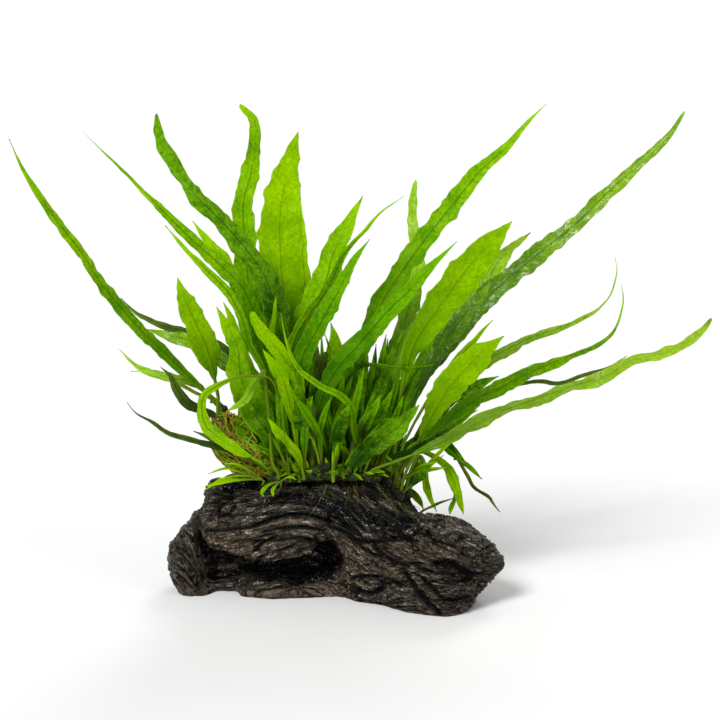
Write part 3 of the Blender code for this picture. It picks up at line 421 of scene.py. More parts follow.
          ((29, 55), (33, 64), (37, 75), (43, 86), (48, 94), (55, 102), (63, 111), (72, 117)),
          -22, 0, 14.5, (10, 12, 20), 0.3, 0.68, "bright"),
    Frond("frond_right_curled_tongue", (24, 2.6, 50),
          ((29, 70), (40, 90), (51, 106), (59, 115), (63, 120), (67, 124)), 0, 0, 3.6, (20, 30),
          0.4, 0.75, "bright"),
    Frond("frond_right_low_dark", (16, -5.6, 57.5),
          ((23, 62), (34, 66), (43, 72), (53, 79), (62, 86)), -9, 0, 4.8, (20, 30), 0.1, 0.5,
          "dark"),
    Frond("frond_front_dark_broad", (2, -12.4, 57.8),
          ((9, 63), (15, 68), (24, 75), (30, 81), (35, 86)), -16, 0, 12.0, (15, 20), 0.08, 0.5,
          "dark"),
    Frond("frond_centre_crossing_thin", (-4, -0.6, 58.8),
          ((-2, 80), (2, 94), (8, 103), (16, 104), (24, 103), (33, 103), (41, 104)), -5, 0, 2.6,
          (20, 20), 0.3, 0.45, "dark"),
    Frond("frond_hanging_1", (30, 14, 42),
          ((31.5, 53), (33.5, 60), (35.5, 62.5), (37, 59), (38, 53), (39.5, 45), (43, 37)), 16,
          0, 3.6, (10, 15), 0.2, 0.68, "bright"),
    Frond("frond_hanging_2", (23, 19, 50),
          ((27, 60), (31, 65), (36, 65), (42, 62), (47, 58), (50, 53), (52, 47), (55, 36)),
          12, 0, 5.2, (10, 15), 0.2, 0.75, "bright"),
    Frond("frond_hanging_3", (16, 20, 54.5),
          ((26, 65), (35, 67), (41, 70), (46, 70), (50, 66), (54, 60), (57, 58), (63, 52)),
          22, 0, 3.4, (10, 20), 0.3, 0.75, "dark"),
    Frond("frond_on_the_wood", (25, 18, 44.5),
          ((28, 48.6), (32, 47), (35, 43), (37, 38.5)), 19, 0, 4.2, (60, 40), 0.1, 0.6, "mid"),
)

# Young leaves, given in the same way, which grow out of the creeping stems
YOUNG_LEAVES = (
    Frond("young_drooping_tongue", (-21, -8.2, 57),
          ((-24, 75), (-25, 86), (-23, 90.5), (-21, 88), (-20.6, 81)), -10.5, 0, 4.0, (10, 15),
          0.2, 0.7, "bright"),
    Frond("young_bright_left", (-15.6, -11.4, 57), ((-15.8, 70), (-15, 79), (-12, 90)), -13, 0,
          4.6, (10, -15), 0.15, 0.6, "bright"),
    Frond("young_spotted", (-12.2, -8.8, 57), ((-13, 72), (-12.5, 80), (-12, 88)), -9.4, 0, 5.0,
          (-10, 10), 0.12, 0.62, "brown"),
    Frond("young_slender", (-7.5, -8.8, 57), ((-9, 72), (-7, 82), (-3.5, 90)), -11, 0, 4.2,
          (15, -10), 0.15, 0.6, "bright"),
    Frond("young_broad", (-2, -7.4, 57), ((-1, 70), (0, 80), (3, 90)), -8.8, 0, 7.4, (5, -10),
          0.12, 0.6, "bright"),
    Frond("young_dotted", (-24.6, -9.4, 57), ((-26, 72), (-27, 83), (-28.5, 91)), -10.4, 0, 3.6,
          (10, 20), 0.15, 0.6, "bright"),
    Frond("young_thin", (-6.6, -2.6, 56), ((-4, 70), (-5, 76.8), (-6, 82.7), (-4, 90.4)), -4.6,
          0, 3.4, (-10, 15), 0.2, 0.6, "mid"),
    Frond("young_leaning", (3, -4.4, 56.6), ((5, 64), (9, 69), (15, 76), (24, 80)), -5.2, 0, 5.4,
          (5, 10), 0.1, 0.6, "mid"),
    Frond("young_back_left", (-23.4, 18.2, 56), ((-28, 60), (-33, 66), (-39, 71)), 27, 0, 4.6,
          (170, 160), 0.15, 0.6, "bright"),
    Frond("young_back_1", (-19, 18, 56.4), ((-20, 64), (-22, 72), (-26, 80)), 25, 0, 4.4,
          (185, 170), 0.15, 0.6, "mid"),
    Frond("young_back_2", (-8, 18, 56.6), ((-8, 64), (-6, 72), (-3, 77)), 27, 0, 4.8,
          (175, 195), 0.15, 0.6, "bright"),
    Frond("young_back_3", (-1, 17.4, 56.6), ((-2, 66), (-1, 76), (3, 86)), 21, 0, 3.6,
          (190, 170), 0.2, 0.6, "mid"),
    Frond("young_back_right", (9, 16.6, 56.8), ((12, 63), (17, 68), (24, 71)), 26, 0, 4.4,
          (185, 175), 0.15, 0.6, "bright"),
)

# Small leaves of each plantlet: the points of a leaf (x, y, z) and its width, in millimetres
LEFT_PLANTLET = (
    (((-34, -14, 55.5), (-42, -13, 58), (-50, -12, 60), (-58, -12, 57.5)), 2.2),
    (((-34, -14, 55.5), (-43, -15, 57.5), (-54, -15, 56)), 2.0),
    (((-34, -14, 55.5), (-46, -17, 56), (-53, -17, 54.5), (-59, -16, 53)), 3.0),
    (((-34, -14, 55.5), (-44, -12, 55), (-52, -11, 54.5), (-60, -10, 49.5)), 2.6),
    (((-34, -14, 55.5), (-44, -14, 62), (-51, -13, 62.5)), 2.2),
)
FRONT_PLANTLET = (
    (((-26, -17.5, 55.5), (-31, -19.5, 54.5), (-34, -21, 51.5), (-33, -22, 50)), 3.4),
    (((-26, -17.5, 55.5), (-29, -20, 53), (-29, -22, 50)), 3.4),
    (((-26, -17.5, 55.5), (-22, -19, 58), (-19, -20, 57)), 2.4),
)

# Small leaves that grow from stalks and stems, given in the same way
SMALL_LEAVES = (
    Frond("side_curl", (-57, 2, 88.5), ((-63, 91), (-72, 96), (-84, 101), (-92, 101)), 7, 0, 1.8,
          (20, 40), 0.1, 0.5, "pale"),
    Frond("dark_tip", (-39, -7, 62), ((-44, 65), (-52, 68), (-60, 72), (-65, 74)), -8, 0, 2.6,
          (20, 40), 0.1, 0.6, "brown"),
    Frond("upright", (-19.4, -7, 57), ((-18, 70), (-19, 79), (-16, 86), (-12, 90)), -8, 0, 3.5,
          (10, 25), 0.2, 0.6, "bright"),
    Frond("hanging_stalk", (51.8, 22, 57.5),
          ((54, 58), (57, 53), (60, 48), (66, 44), (68, 41), (71, 37)), 22, 0, 1.9, (10, 20),
          0.1, 0.6, "brown"),
    Frond("lying_stalk", (36.1, 5.9, 35.5), ((40.4, 39.4), (45.3, 41.6), (50.6, 43.4)), 4, 0, 1.6,
          (20, 40), 0.1, 0.5, "brown"),
    Frond("lying_leaf", (50.8, 4, 43.6), ((51, 43), (49.3, 38.9), (48.8, 35.8)), 3, 0, 2.4,
          (10, 20), 0.1, 0.6, "bright"),
    Frond("hanging_twin", (40.8, 19, 66), ((44.3, 69.3), (48.3, 64.8), (55, 59.3)), 19.5, 0, 3.0,
          (20, 30), 0.1, 0.6, "mid"),
    Frond("sprout", (-3, -12, 56), ((-3, 60), (-3.4, 65)), -12.4, 0, 1.7, (0, 20), 0.3, 0.6,
          "pale"),
    Frond("round_leaf", (-18, -12.4, 56), ((-19.5, 57.6), (-20.8, 59.8)), -14, 0, 3.8, (0, 20),
          0.2, 0.6, "bright"),
)


# Sizes and colours that a user would change

def length(name, description, value):
    return FloatProperty(name=name, description=description, default=value, min=0, precision=5,
                         subtype="DISTANCE", unit="LENGTH")


def light(name, description, value):
    return FloatProperty(name=name, description=description, default=value, min=0)


def colour(name, description, value):
    return FloatVectorProperty(name=name, description=description, default=value, min=0, max=1,
                               size=3, subtype="COLOR")


class FernWoodLook(bpy.types.PropertyGroup):
    """The driftwood's surface and its colours"""
    voxel: length("Mesh size", "Spacing of the points on the wood's surface", 0.00068)
    ridge: length("Grain ridges", "Height of the coarse ridges along the grain", 0.00092)
    fine_ridge: length("Fine grain", "Height of the fine ridges along the grain", 0.00076)
    crack: length("Cracks", "Depth of the long cracks along the grain", 0.0017)
    lump: length("Lumps", "Height of the broad lumps", 0.0008)
    pit: length("Pits", "Depth of the worm-eaten pits", 0.0013)
    charcoal: colour("Wet wood", "Colour of most of the wet wood", (0.1500, 0.1130, 0.0700))
    pale: colour("Crests", "Colour of the crests that have dried", (0.215, 0.175, 0.120))
    brown: colour("Brown wood", "Colour of the worn edges and ledges", (0.215, 0.145, 0.088))
    red: colour("Reddish wood", "Colour of the soft heart of the wood", (0.110, 0.050, 0.026))
    moss: colour("Olive film", "Colour of the film under the plant", (0.030, 0.027, 0.0090))
    grey: colour("Grey film", "Colour of the grey film on the outer wood", (0.120, 0.112, 0.095))
    glint: colour("Glints", "Colour of the wet points that catch the light", (0.70, 0.68, 0.62))
    # Painted shade: the near-black laid in hollows, cracks, the cavity and under ledges
    black: colour("Hollows", "Colour deep in hollows and cracks", (0.0018, 0.0015, 0.0013))


class FernLeafLook(bpy.types.PropertyGroup):
    """The greens of the leaves"""
    bright_light: colour("Bright leaf", "Light tissue of a bright leaf", (0.440, 0.750, 0.000))
    bright_deep: colour("Bright leaf, deep", "Deep tissue of a bright leaf", (0.200, 0.480, 0.000))
    mid_light: colour("Green leaf", "Light tissue of a green leaf", (0.390, 0.720, 0.000))
    mid_deep: colour("Green leaf, deep", "Deep tissue of a green leaf", (0.105, 0.350, 0.000))
    green_light: colour("Deep green leaf", "Light tissue of a deep green leaf", (0.220, 0.540, 0.000))
    green_deep: colour("Deep green leaf, deep", "Deep tissue of a deep green leaf",
                       (0.058, 0.230, 0.000))
    dark_light: colour("Dark leaf", "Light tissue of a dark leaf", (0.220, 0.540, 0.000))
    dark_deep: colour("Dark leaf, deep", "Deep tissue of a dark leaf", (0.014, 0.080, 0.000))
    wet_light: colour("Wet leaf", "Light tissue of a wet leaf", (0.300, 0.560, 0.002))
    wet_deep: colour("Wet leaf, deep", "Deep tissue of a wet leaf", (0.070, 0.210, 0.001))
    pale_light: colour("Pale leaf", "Light tissue of a pale leaf", (0.500, 0.780, 0.030))
    pale_deep: colour("Pale leaf, deep", "Deep tissue of a pale leaf", (0.220, 0.500, 0.008))
    brown_light: colour("Brown leaf", "Light tissue of a browned leaf", (0.130, 0.230, 0.020))
    brown_deep: colour("Brown leaf, deep", "Deep tissue of a browned leaf", (0.045, 0.075, 0.010))
    midrib: colour("Midrib", "Colour of the midrib", (0.022, 0.075, 0.000))
    golden_midrib: colour("Golden midrib", "Colour of a young midrib", (0.300, 0.360, 0.000))
    stalk: colour("Stalk", "Colour of the stalks", (0.150, 0.200, 0.012))
    scorch: colour("Brown tissue", "Colour of dying tissue", (0.060, 0.036, 0.010))
    # Painted highlight: the pale patches that stand for light reflected from a wet leaf
    bloom: colour("Wet bloom", "Pale sheen between the veins of a wet leaf", (0.660, 0.790, 0.400))


class FernRootLook(bpy.types.PropertyGroup):
    """The creeping stems and the roots"""
    strand: length("Root strands", "Width of the tangled root strands", 0.00075)
    hair: length("Root hairs", "Width of the fine roots on the wood", 0.00022)
    stem_green: colour("Stem", "Green skin of the creeping stem", (0.052, 0.078, 0.024))
    stem_brown: colour("Stem scales", "Brown scales on the stem", (0.018, 0.016, 0.007))
    rust: colour("Rusty roots", "Colour of the rusty root strands", (0.420, 0.190, 0.012))
    green: colour("Green roots", "Colour of the green root strands", (0.230, 0.430, 0.010))
    dark: colour("Old roots", "Colour of the old root strands", (0.022, 0.010, 0.008))


class FernStudioLook(bpy.types.PropertyGroup):
    """The floor, the lights and the camera"""
    floor: colour("Floor", "Colour of the floor", (0.93, 0.93, 0.93))
    sky: light("Even light", "Strength of the light from all round", 0.42)
    key: light("Key light", "Strength of the main light, from the upper left", 2.3)
    fill: light("Fill light", "Strength of the light from the right", 0.25)
    back: light("Back light", "Strength of the light behind the leaves", 0.8)
    softness: FloatProperty(name="Softness", description="How wide each light spreads",
                            default=math.radians(22), min=0, subtype="ANGLE", unit="ROTATION")


# Shaders

class Socket:
    """An output in a shader, on which sums can be written as on a number."""

    def __init__(self, paint, link):
        self.paint = paint
        self.link = link

    def __add__(self, other):
        return self.paint.math("ADD", self, other)

    def __radd__(self, other):
        return self.paint.math("ADD", other, self)

    def __sub__(self, other):
        return self.paint.math("SUBTRACT", self, other)

    def __rsub__(self, other):
        return self.paint.math("SUBTRACT", other, self)

    def __mul__(self, other):
        return self.paint.math("MULTIPLY", self, other)

    def __rmul__(self, other):
        return self.paint.math("MULTIPLY", other, self)

    def __truediv__(self, other):
        return self.paint.math("DIVIDE", self, other)

    def __rtruediv__(self, other):
        return self.paint.math("DIVIDE", other, self)

    def __abs__(self):
        return self.paint.math("ABSOLUTE", self)


class Paint:
    """A finish: a material's nodes and the shader that they feed."""

    def __init__(self, name, **uniform):
        self.material = bpy.data.materials.new(name)
        self.material.use_nodes = True
        self.tree = self.material.node_tree
        self.shader = self.tree.nodes["Principled BSDF"]
        for socket, value in uniform.items():
            self.put(self.shader.inputs[socket.replace("_", " ")], value)

    def put(self, socket, value):
        if isinstance(value, Socket):
            self.tree.links.new(value.link, socket)
        elif socket.type == "RGBA" and len(value) == 3:
            socket.default_value = (*value, 1)
        else:
            socket.default_value = value

    def node(self, kind, settings=None, values=None, output=0):
        """Adds a node: its settings first, then the values or links of its sockets."""
        made = self.tree.nodes.new(kind)
        for name, value in (settings or {}).items():
            setattr(made, name, value)
        for name, value in (values or {}).items():
            self.put(made.inputs[name], value)
        return Socket(self, made.outputs[output])

    def math(self, operation, *terms):
        return self.node("ShaderNodeMath", {"operation": operation}, dict(enumerate(terms)))

    def larger(self, first, second):
        return self.math("MAXIMUM", first, second)

    def clear(self, value):
        """The value held between nothing and one."""
        return self.node("ShaderNodeClamp", None, {0: value})

    def smooth(self, value, low, high):
        """A soft step: 0 where the value is under low, 1 where it is over high."""
        return self.node("ShaderNodeMapRange", {"interpolation_type": "SMOOTHSTEP"},
                         {"Value": value, "From Min": low, "From Max": high})

    def between(self, factor, first, second):
        """A colour from the first to the second."""
        return self.node("ShaderNodeMix", {"data_type": "RGBA"},
                         {0: factor, 6: first, 7: second}, 2)

    def attribute(self, name):
        """The three numbers of a vector stored on the mesh, and the vector."""
        vector = self.node("ShaderNodeAttribute", {"attribute_name": name}, None, 1)
        split = self.node("ShaderNodeSeparateXYZ", None, {0: vector})
        parts = [Socket(self, output) for output in split.link.node.outputs]
        return (*parts, vector)

    def vector(self, x, y, z):
        return self.node("ShaderNodeCombineXYZ", None, {0: x, 1: y, 2: z})

    def noise(self, at, scale, detail=2.0, rough=0.5, warp=0.0):
        return self.node("ShaderNodeTexNoise", None,
                         {"Vector": at, "Scale": scale, "Detail": detail, "Roughness": rough,
                          "Distortion": warp})

    def cells(self, at, scale, feature="DISTANCE_TO_EDGE"):
        return self.node("ShaderNodeTexVoronoi", {"feature": feature},
                         {"Vector": at, "Scale": scale})

    def finish(self, colour, roughness, height, depth, strength=1.0, coat=None):
        """Links what changes over the surface."""
        self.put(self.shader.inputs["Base Color"], colour)
        self.put(self.shader.inputs["Roughness"], roughness)
        if coat is not None:
            self.put(self.shader.inputs["Coat Weight"], coat)
        bump = self.node("ShaderNodeBump", None,
                         {"Strength": strength, "Distance": depth, "Height": height})
        self.put(self.shader.inputs["Normal"], bump)
        return self.material

    def glow_through(self, colour, factor):
        """Lets light through a thin leaf, which tints it."""
        thin = self.node("ShaderNodeBsdfTranslucent", None, {"Color": colour})
        both = self.node("ShaderNodeMixShader", None,
                         {0: factor, 1: Socket(self, self.shader.outputs[0]), 2: thin})
        surface = self.tree.nodes["Material Output"].inputs["Surface"]
        self.tree.links.new(both.link, surface)


# How each tone of leaf differs: light that passes, its tint, roughness, gloss, how much painted wet
# highlight it shows, scorch, how strong the midrib shows, how golden it is and how far the spore dots
# show
Tone = namedtuple("Tone", "glow tint roughness gloss bloom scorch rib golden dots")
TONES = {
    "bright": Tone(0.44, (0.64, 0.90, 0.0), 0.42, 0.02, 0.0, 0.10, 0.60, 0.35, 0.0),
    "mid": Tone(0.38, (0.54, 0.84, 0.0), 0.40, 0.03, 0.10, 0.12, 0.72, 0.15, 0.2),
    "green": Tone(0.34, (0.36, 0.70, 0.0), 0.40, 0.03, 0.05, 0.12, 0.80, 0.05, 0.1),
    "dark": Tone(0.30, (0.26, 0.56, 0.0), 0.38, 0.05, 0.10, 0.14, 0.85, 0.0, 0.6),
    "wet": Tone(0.28, (0.46, 0.66, 0.0), 0.24, 0.26, 1.0, 0.12, 0.80, 0.1, 0.0),
    "pale": Tone(0.44, (0.66, 0.86, 0.02), 0.38, 0.10, 0.80, 0.12, 0.50, 0.25, 0.0),
    "brown": Tone(0.22, (0.36, 0.40, 0.0), 0.44, 0.04, 0.05, 0.75, 0.90, 0.0, 0.9),
}


def leaf_material(look, tone):
    """Leaf tissue: mottled green between a net of veins, with a midrib and browned edges; painted shade
    darkens each leaf towards its foot and painted light brightens it towards its tip, wet leaves carry a
    painted highlight between the veins and every blade a painted highlight along its edges.
    """
    kind = TONES[tone]
    light = tuple(getattr(look, tone + "_light"))
    deep = tuple(getattr(look, tone + "_deep"))
    paint = Paint(tone + "_leaf_tissue", Specular_IOR_Level=kind.gloss)
    a, along, across, _ = paint.attribute("leaf_place")
    blade, seed, half, _ = paint.attribute("leaf_look")
    out = abs(across)
    at = paint.vector(across, along * 0.7, seed * 0.37)
    slanted = paint.vector(along - out * 0.9, (along + out) * 0.35, seed * 0.61)
    fine = paint.noise(at, 620, 4.0, 0.65, 0.4) * 0.5 + paint.noise(slanted, 520, 3.0, 0.6) * 0.5
    broad = paint.noise(at, 150, 2.0, 0.5)
    slow = paint.noise(paint.vector(across * 0.3, along, seed * 0.9), 34, 1.0)

    # Painted shade: the share of the blade near its foot, which is darkened and lets less light through
    low = 1 - paint.smooth(blade, 0.0, 0.68)
    tissue = paint.smooth(fine * 0.62 + broad * 0.38 + (seed - 0.5) * 0.06, 0.42, 0.56)
    tissue = tissue * 0.60 + paint.smooth(slow, 0.35, 0.65) * 0.40 - low * 0.50
    # Painted light: the tissue grows lighter towards the tip
    tissue = tissue + paint.smooth(blade, 0.6, 1.0) * 0.22 + 0.06
    tissue = paint.clear(tissue)
    skin = paint.between(tissue, deep, light)
    # Painted shade: deep green mixed in towards the foot
    skin = paint.between(low * 0.72, skin, tuple(0.45 * c for c in deep))

    slant = (along - out * 0.9) / 0.0046 + broad * 0.9
    vein = paint.smooth(abs(paint.math("FRACT", slant) - 0.5), 0.41, 0.49)
    cells = paint.vector(across + (broad - 0.5) * 0.0016, along * 0.62, seed)
    net = 1 - paint.smooth(paint.cells(cells, 430), 0.02, 0.13)
    open_blade = paint.smooth(half, 0.0011, 0.0022)
    lines = paint.clear(vein * 0.55 + net * 0.7) * open_blade
    skin = paint.between(lines * 0.42, skin, tuple(0.85 * c for c in deep))
    flecks = paint.smooth(paint.noise(at, 820, 2.0, 0.5), 0.57, 0.66) * open_blade
    skin = paint.between(flecks * 0.40, skin, tuple(0.55 * c for c in deep))

    # Painted highlight: pale patches between the veins of wet and pale leaves stand for reflected light
    bloom = paint.smooth(paint.noise(slanted, 470, 3.0, 0.65, 0.8), 0.54, 0.63)
    bloom = bloom * paint.smooth(broad, 0.44, 0.58) * kind.bloom * open_blade * (1 - net * 0.5)
    bloom = bloom * (0.4 + 0.6 * paint.smooth(blade, 0.2, 0.6))
    skin = paint.between(bloom * 0.7, skin, tuple(look.bloom))

    # Painted highlight: a lighter rim along the edges of each blade
    edge = paint.smooth(abs(a), 0.86, 0.985) * open_blade
    skin = paint.between(edge * 0.22, skin, tuple(min(1, 1.35 * c + 0.03) for c in light))

    worn = paint.smooth(paint.noise(at, 140, 3.0, 0.6), 0.60 - 0.12 * kind.scorch, 0.74)
    rim = paint.smooth(abs(a) + (broad - 0.5) * 0.5, 0.72, 0.98)
    tip = paint.smooth(blade + (broad - 0.5) * 0.10, 0.955, 1.0)
    scorched = paint.clear(worn * kind.scorch * 0.8 + rim * kind.scorch * 0.7 * open_blade
                           + tip * 0.6 * paint.smooth(seed, 0.5, 0.9))
    skin = paint.between(scorched, skin, tuple(look.scorch))

    row = (paint.math("FRACT", along / 0.0027) - 0.5) * 0.0027
    aside = out - 0.0013
    dots = 1 - paint.smooth(paint.math("SQRT", row * row + aside * aside), 0.00030, 0.00052)
    dots = dots * paint.smooth(seed, 0.4, 0.5) * paint.smooth(half, 0.0020, 0.0026) * kind.dots
    dots = dots * (1 - paint.smooth(blade, 0.35, 0.70))
    skin = paint.between(dots, skin, tuple(0.5 * c for c in look.scorch))

    rib = 1 - paint.smooth(out, 0.00010, 0.00042)
    rib = rib * paint.smooth(blade, 0.0, 0.05) * (1 - paint.smooth(blade, 0.62, 0.92))
    rib_colour = tuple(d + kind.golden * (g - d)
                       for d, g in zip(look.midrib, look.golden_midrib))
    skin = paint.between(rib * kind.rib, skin, rib_colour)
    stem = 1 - paint.smooth(half, 0.0008, 0.0013)
    stem = stem * (1 - paint.smooth(blade, 0.25, 0.5))
    skin = paint.between(stem * 0.65, skin, tuple(look.stalk))

    roughness = kind.roughness + (fine - 0.5) * 0.22 + scorched * 0.15 - bloom * 0.12
    height = broad * 0.7 + fine * 0.45 - lines * 0.5 + rib * 0.3
    through = kind.glow * (1 - rib * 0.85 * kind.rib) * (1 - scorched * 0.75)
    through = through * (0.45 + 0.65 * tissue) * (1 - 0.5 * low) * (1 - 0.6 * lines) * (1 - 0.5 * flecks)
    paint.glow_through(kind.tint, paint.clear(through - bloom * 0.2))
    return paint.finish(skin, roughness, height, 0.00045, 0.8)


def wood_material(look):
    """Wet driftwood: dark grain in long streaks, worn brown edges, olive and grey films, painted shade
    in hollows, cracks, the cavity and under ledges, and painted glints.
    """
    paint = Paint("driftwood_grain", Specular_IOR_Level=0.26)
    _, _, _, grain = paint.attribute("wood_grain")
    crest, hollow_shade, grey, _ = paint.attribute("wood_relief")
    brown, moss, black, _ = paint.attribute("wood_stain")
    stretch = paint.node("ShaderNodeVectorMath", {"operation": "MULTIPLY"},
                         {0: grain, 1: (0.12, 1.0, 0.7)})
    streak = paint.noise(stretch, 900, 3.0, 0.6)
    band = paint.noise(stretch, 240, 3.0, 0.55, 0.3)
    blotch = paint.noise(grain, 95, 3.0, 0.6)
    speck = paint.noise(grain, 1500, 2.0, 0.6)

    fibre = paint.smooth(abs(streak - 0.5), 0.0, 0.05)
    split = paint.smooth(abs(band - 0.5), 0.0, 0.035)
    wood = paint.between(paint.smooth(band * 0.5 + streak * 0.5, 0.42, 0.58),
                         tuple(0.68 * c for c in look.charcoal), tuple(look.charcoal))
    high = paint.smooth(crest + (streak - 0.5) * 0.9, 0.62, 0.95)
    wood = paint.between(high * 0.22, wood, tuple(look.pale))
    red = paint.smooth(paint.noise(grain, 60, 2.0), 0.56, 0.70) * paint.smooth(band, 0.45, 0.6)
    wood = paint.between(red * 0.45, wood, tuple(look.red))
    worn = paint.clear(brown * (0.35 + band) * paint.smooth(crest + streak * 0.4, 0.42, 0.85))
    wood = paint.between(worn * 0.85, wood, tuple(look.brown))
    film = paint.clear(moss * (0.4 + blotch))
    wood = paint.between(film * 0.9, wood, tuple(look.moss))
    dust = paint.clear(grey * paint.smooth(blotch + streak * 0.5, 0.55, 0.95))
    wood = paint.between(dust * 0.75, wood, tuple(look.grey))
    dash = paint.smooth(streak, 0.58, 0.64) * paint.smooth(speck, 0.48, 0.55)
    dash = paint.larger(dash, paint.smooth(speck, 0.61, 0.67)) * paint.smooth(crest, 0.36, 0.6)
    dash = dash * paint.smooth(blotch + crest * 0.3 + grey * 0.26, 0.50, 0.62)
    wood = paint.between(dash * 0.9, wood, tuple(look.glint))
    # Painted shade: hollows, crack lines, low places and the shadowed stains go near black
    deep = paint.larger(hollow_shade, black * (0.55 + 0.6 * band))
    deep = paint.clear(paint.larger(deep, (1 - fibre * split) * 0.95))
    deep = paint.clear(deep + (1 - paint.smooth(crest + (streak - 0.5) * 0.6, 0.10, 0.34)) * 0.42)
    wood = paint.between(deep, wood, tuple(look.black))
    spark = paint.smooth(streak, 0.54, 0.60) * paint.smooth(speck, 0.54, 0.60) * black
    wood = paint.between(spark * 0.6, wood, tuple(look.glint))

    wet = paint.smooth(blotch + (band - 0.5) * 0.9, 0.46, 0.62)
    roughness = 0.40 - 0.22 * wet + (speck - 0.5) * 0.3 + dust * 0.12
    height = streak * 0.45 + fibre * 0.25 + split * 0.45 + band * 0.5 + speck * 0.30
    return paint.finish(wood, roughness, height, 0.0034)


def stem_material(look):
    """The creeping stem's skin: green, under brown scales."""
    paint = Paint("stem_skin", Specular_IOR_Level=0.06)
    at = paint.node("ShaderNodeTexCoord", None, None, 3)
    patch = paint.noise(at, 330, 3.0, 0.6)
    scale = paint.cells(at, 700)
    fine = paint.noise(at, 1400, 2.0)
    brown = paint.smooth(patch * 0.7 + fine * 0.3, 0.44, 0.58)
    skin = paint.between(brown, tuple(look.stem_green), tuple(look.stem_brown))
    seam = 1 - paint.smooth(scale, 0.02, 0.16)
    skin = paint.between(seam * 0.6, skin, tuple(0.35 * c for c in look.stem_brown))
    return paint.finish(skin, 0.46 + fine * 0.2, patch * 0.6 - seam * 0.7 + fine * 0.3, 0.0003)


def root_material(look, name, old):
    """Root strands: rusty, green or old by strand, darker along their length in bands."""
    paint = Paint(name, Specular_IOR_Level=0.35)
    along, seed, ripe, _ = paint.attribute("strand")
    band = paint.noise(paint.vector(along, seed * 3, ripe), 260, 3.0, 0.6)
    young = paint.between(paint.smooth(seed + (band - 0.5) * 0.5, 0.50, 0.70),
                          tuple(look.green), tuple(look.rust))
    skin = paint.between(paint.smooth(ripe + (band - 0.5) * 0.7, old - 0.2, old + 0.2), young,
                         tuple(look.dark))
    return paint.finish(skin, 0.42 + band * 0.3, band, 0.0001)


def floor_material(look):
    """A plain pale floor with a faint grain."""
    paint = Paint("pale_floor", Specular_IOR_Level=0.1)
    grain = paint.noise(paint.node("ShaderNodeTexCoord", None, None, 3), 40, 2.0)
    white = tuple(look.floor)
    tint = paint.between(grain, tuple(0.99 * c for c in white), white)
    return paint.finish(tint, 0.85 + grain * 0.05, grain, 0.0001, 0.1)


# Curves and meshes

def unit(vectors):
    return vectors / np.maximum(np.linalg.norm(vectors, axis=-1, keepdims=True), 1e-12)


def curve_through(points, spacing):
    """Points evenly spaced along a smooth curve through the points given, and its length."""
    knots = np.array(points, float)
    ends = np.vstack((2 * knots[0] - knots[1], knots, 2 * knots[-1] - knots[-2]))
    t = (np.arange(CURVE_STEPS) / CURVE_STEPS)[:, None]
    fine = [0.5 * (2 * b + (c - a) * t + (2 * a - 5 * b + 4 * c - d) * t ** 2
                   + (3 * b - a - 3 * c + d) * t ** 3)
            for a, b, c, d in zip(ends, ends[1:], ends[2:], ends[3:])]
    fine = np.vstack((*fine, knots[-1:]))
    reach = np.concatenate(([0], np.cumsum(np.linalg.norm(np.diff(fine, axis=0), axis=1))))
    at = np.linspace(0, reach[-1], max(5, round(reach[-1] / spacing)))
    return np.stack([np.interp(at, reach, side) for side in fine.T], 1), reach[-1]


def rough(at, octaves=2):
    """Smooth noise at these points, about -1 to 1."""
    return np.array([noise.fractal(p, 1.0, 2.0, octaves) for p in at.tolist()])


def wavy(draw, at, wavelength):
    """A smooth random wave between -1 and 1, read at these lengths."""
    knots = draw.uniform(-1, 1, int(at[-1] / wavelength) + 3)
    place = at / wavelength
    start = place.astype(int)
    part = place - start
    ease = part * part * (3 - 2 * part)
    return knots[start] * (1 - ease) + knots[start + 1] * ease


def seen(across, up, depth):
    """The point at this depth on the line of sight through (across, up) of the front view."""
    on_plane = np.array((across, 0, up)) * MM
    return EYE + (on_plane - EYE) * ((depth * MM - EYE[1]) / -EYE[1])


class Shape:
    """Points, faces and the values stored with the points, gathered into one mesh."""

    def __init__(self, *stored):
        self.points = []
        self.faces = []
        self.stored = {name: [] for name in stored}
        self.count = 0

    def add(self, points, faces, **stored):
        """Adds one closed body, with its faces turned outward."""
        points = np.asarray(points, float)
        corners = np.array([(f[0], f[i], f[i + 1]) for f in faces for i in range(1, len(f) - 1)])
        one, two, three = points[corners.T]
        outward = np.einsum("ij,ij->", one, np.cross(two, three)) > 0
        for face in faces:
            turned = face if outward else face[::-1]
            self.faces.append([int(i) + self.count for i in turned])
        self.points.append(points)
        for name, values in stored.items():
            self.stored[name].append(np.asarray(values, float))
        self.count += len(points)

    def build(self, name, material):
        mesh = bpy.data.meshes.new(name)
        mesh.from_pydata(np.vstack(self.points).tolist(), [], self.faces)
        for key, values in self.stored.items():
            layer = mesh.attributes.new(key, "FLOAT_VECTOR", "POINT")
            layer.data.foreach_set("vector", np.vstack(values).ravel())
        mesh.shade_smooth()
        return add_piece(name, mesh, material)


def add_piece(name, mesh, material):
    piece = bpy.data.objects.new(name, mesh)
    bpy.context.scene.collection.objects.link(piece)
    mesh.materials.clear()
    mesh.materials.append(material)
    return piece


def settle(piece, slot, *nodes):
    """Fixes a piece to the model and hides the solids that it stands for. The slot, which would name its
    finish, is not used.
    """
    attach(piece, "root")
    if nodes:
        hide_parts(*nodes)


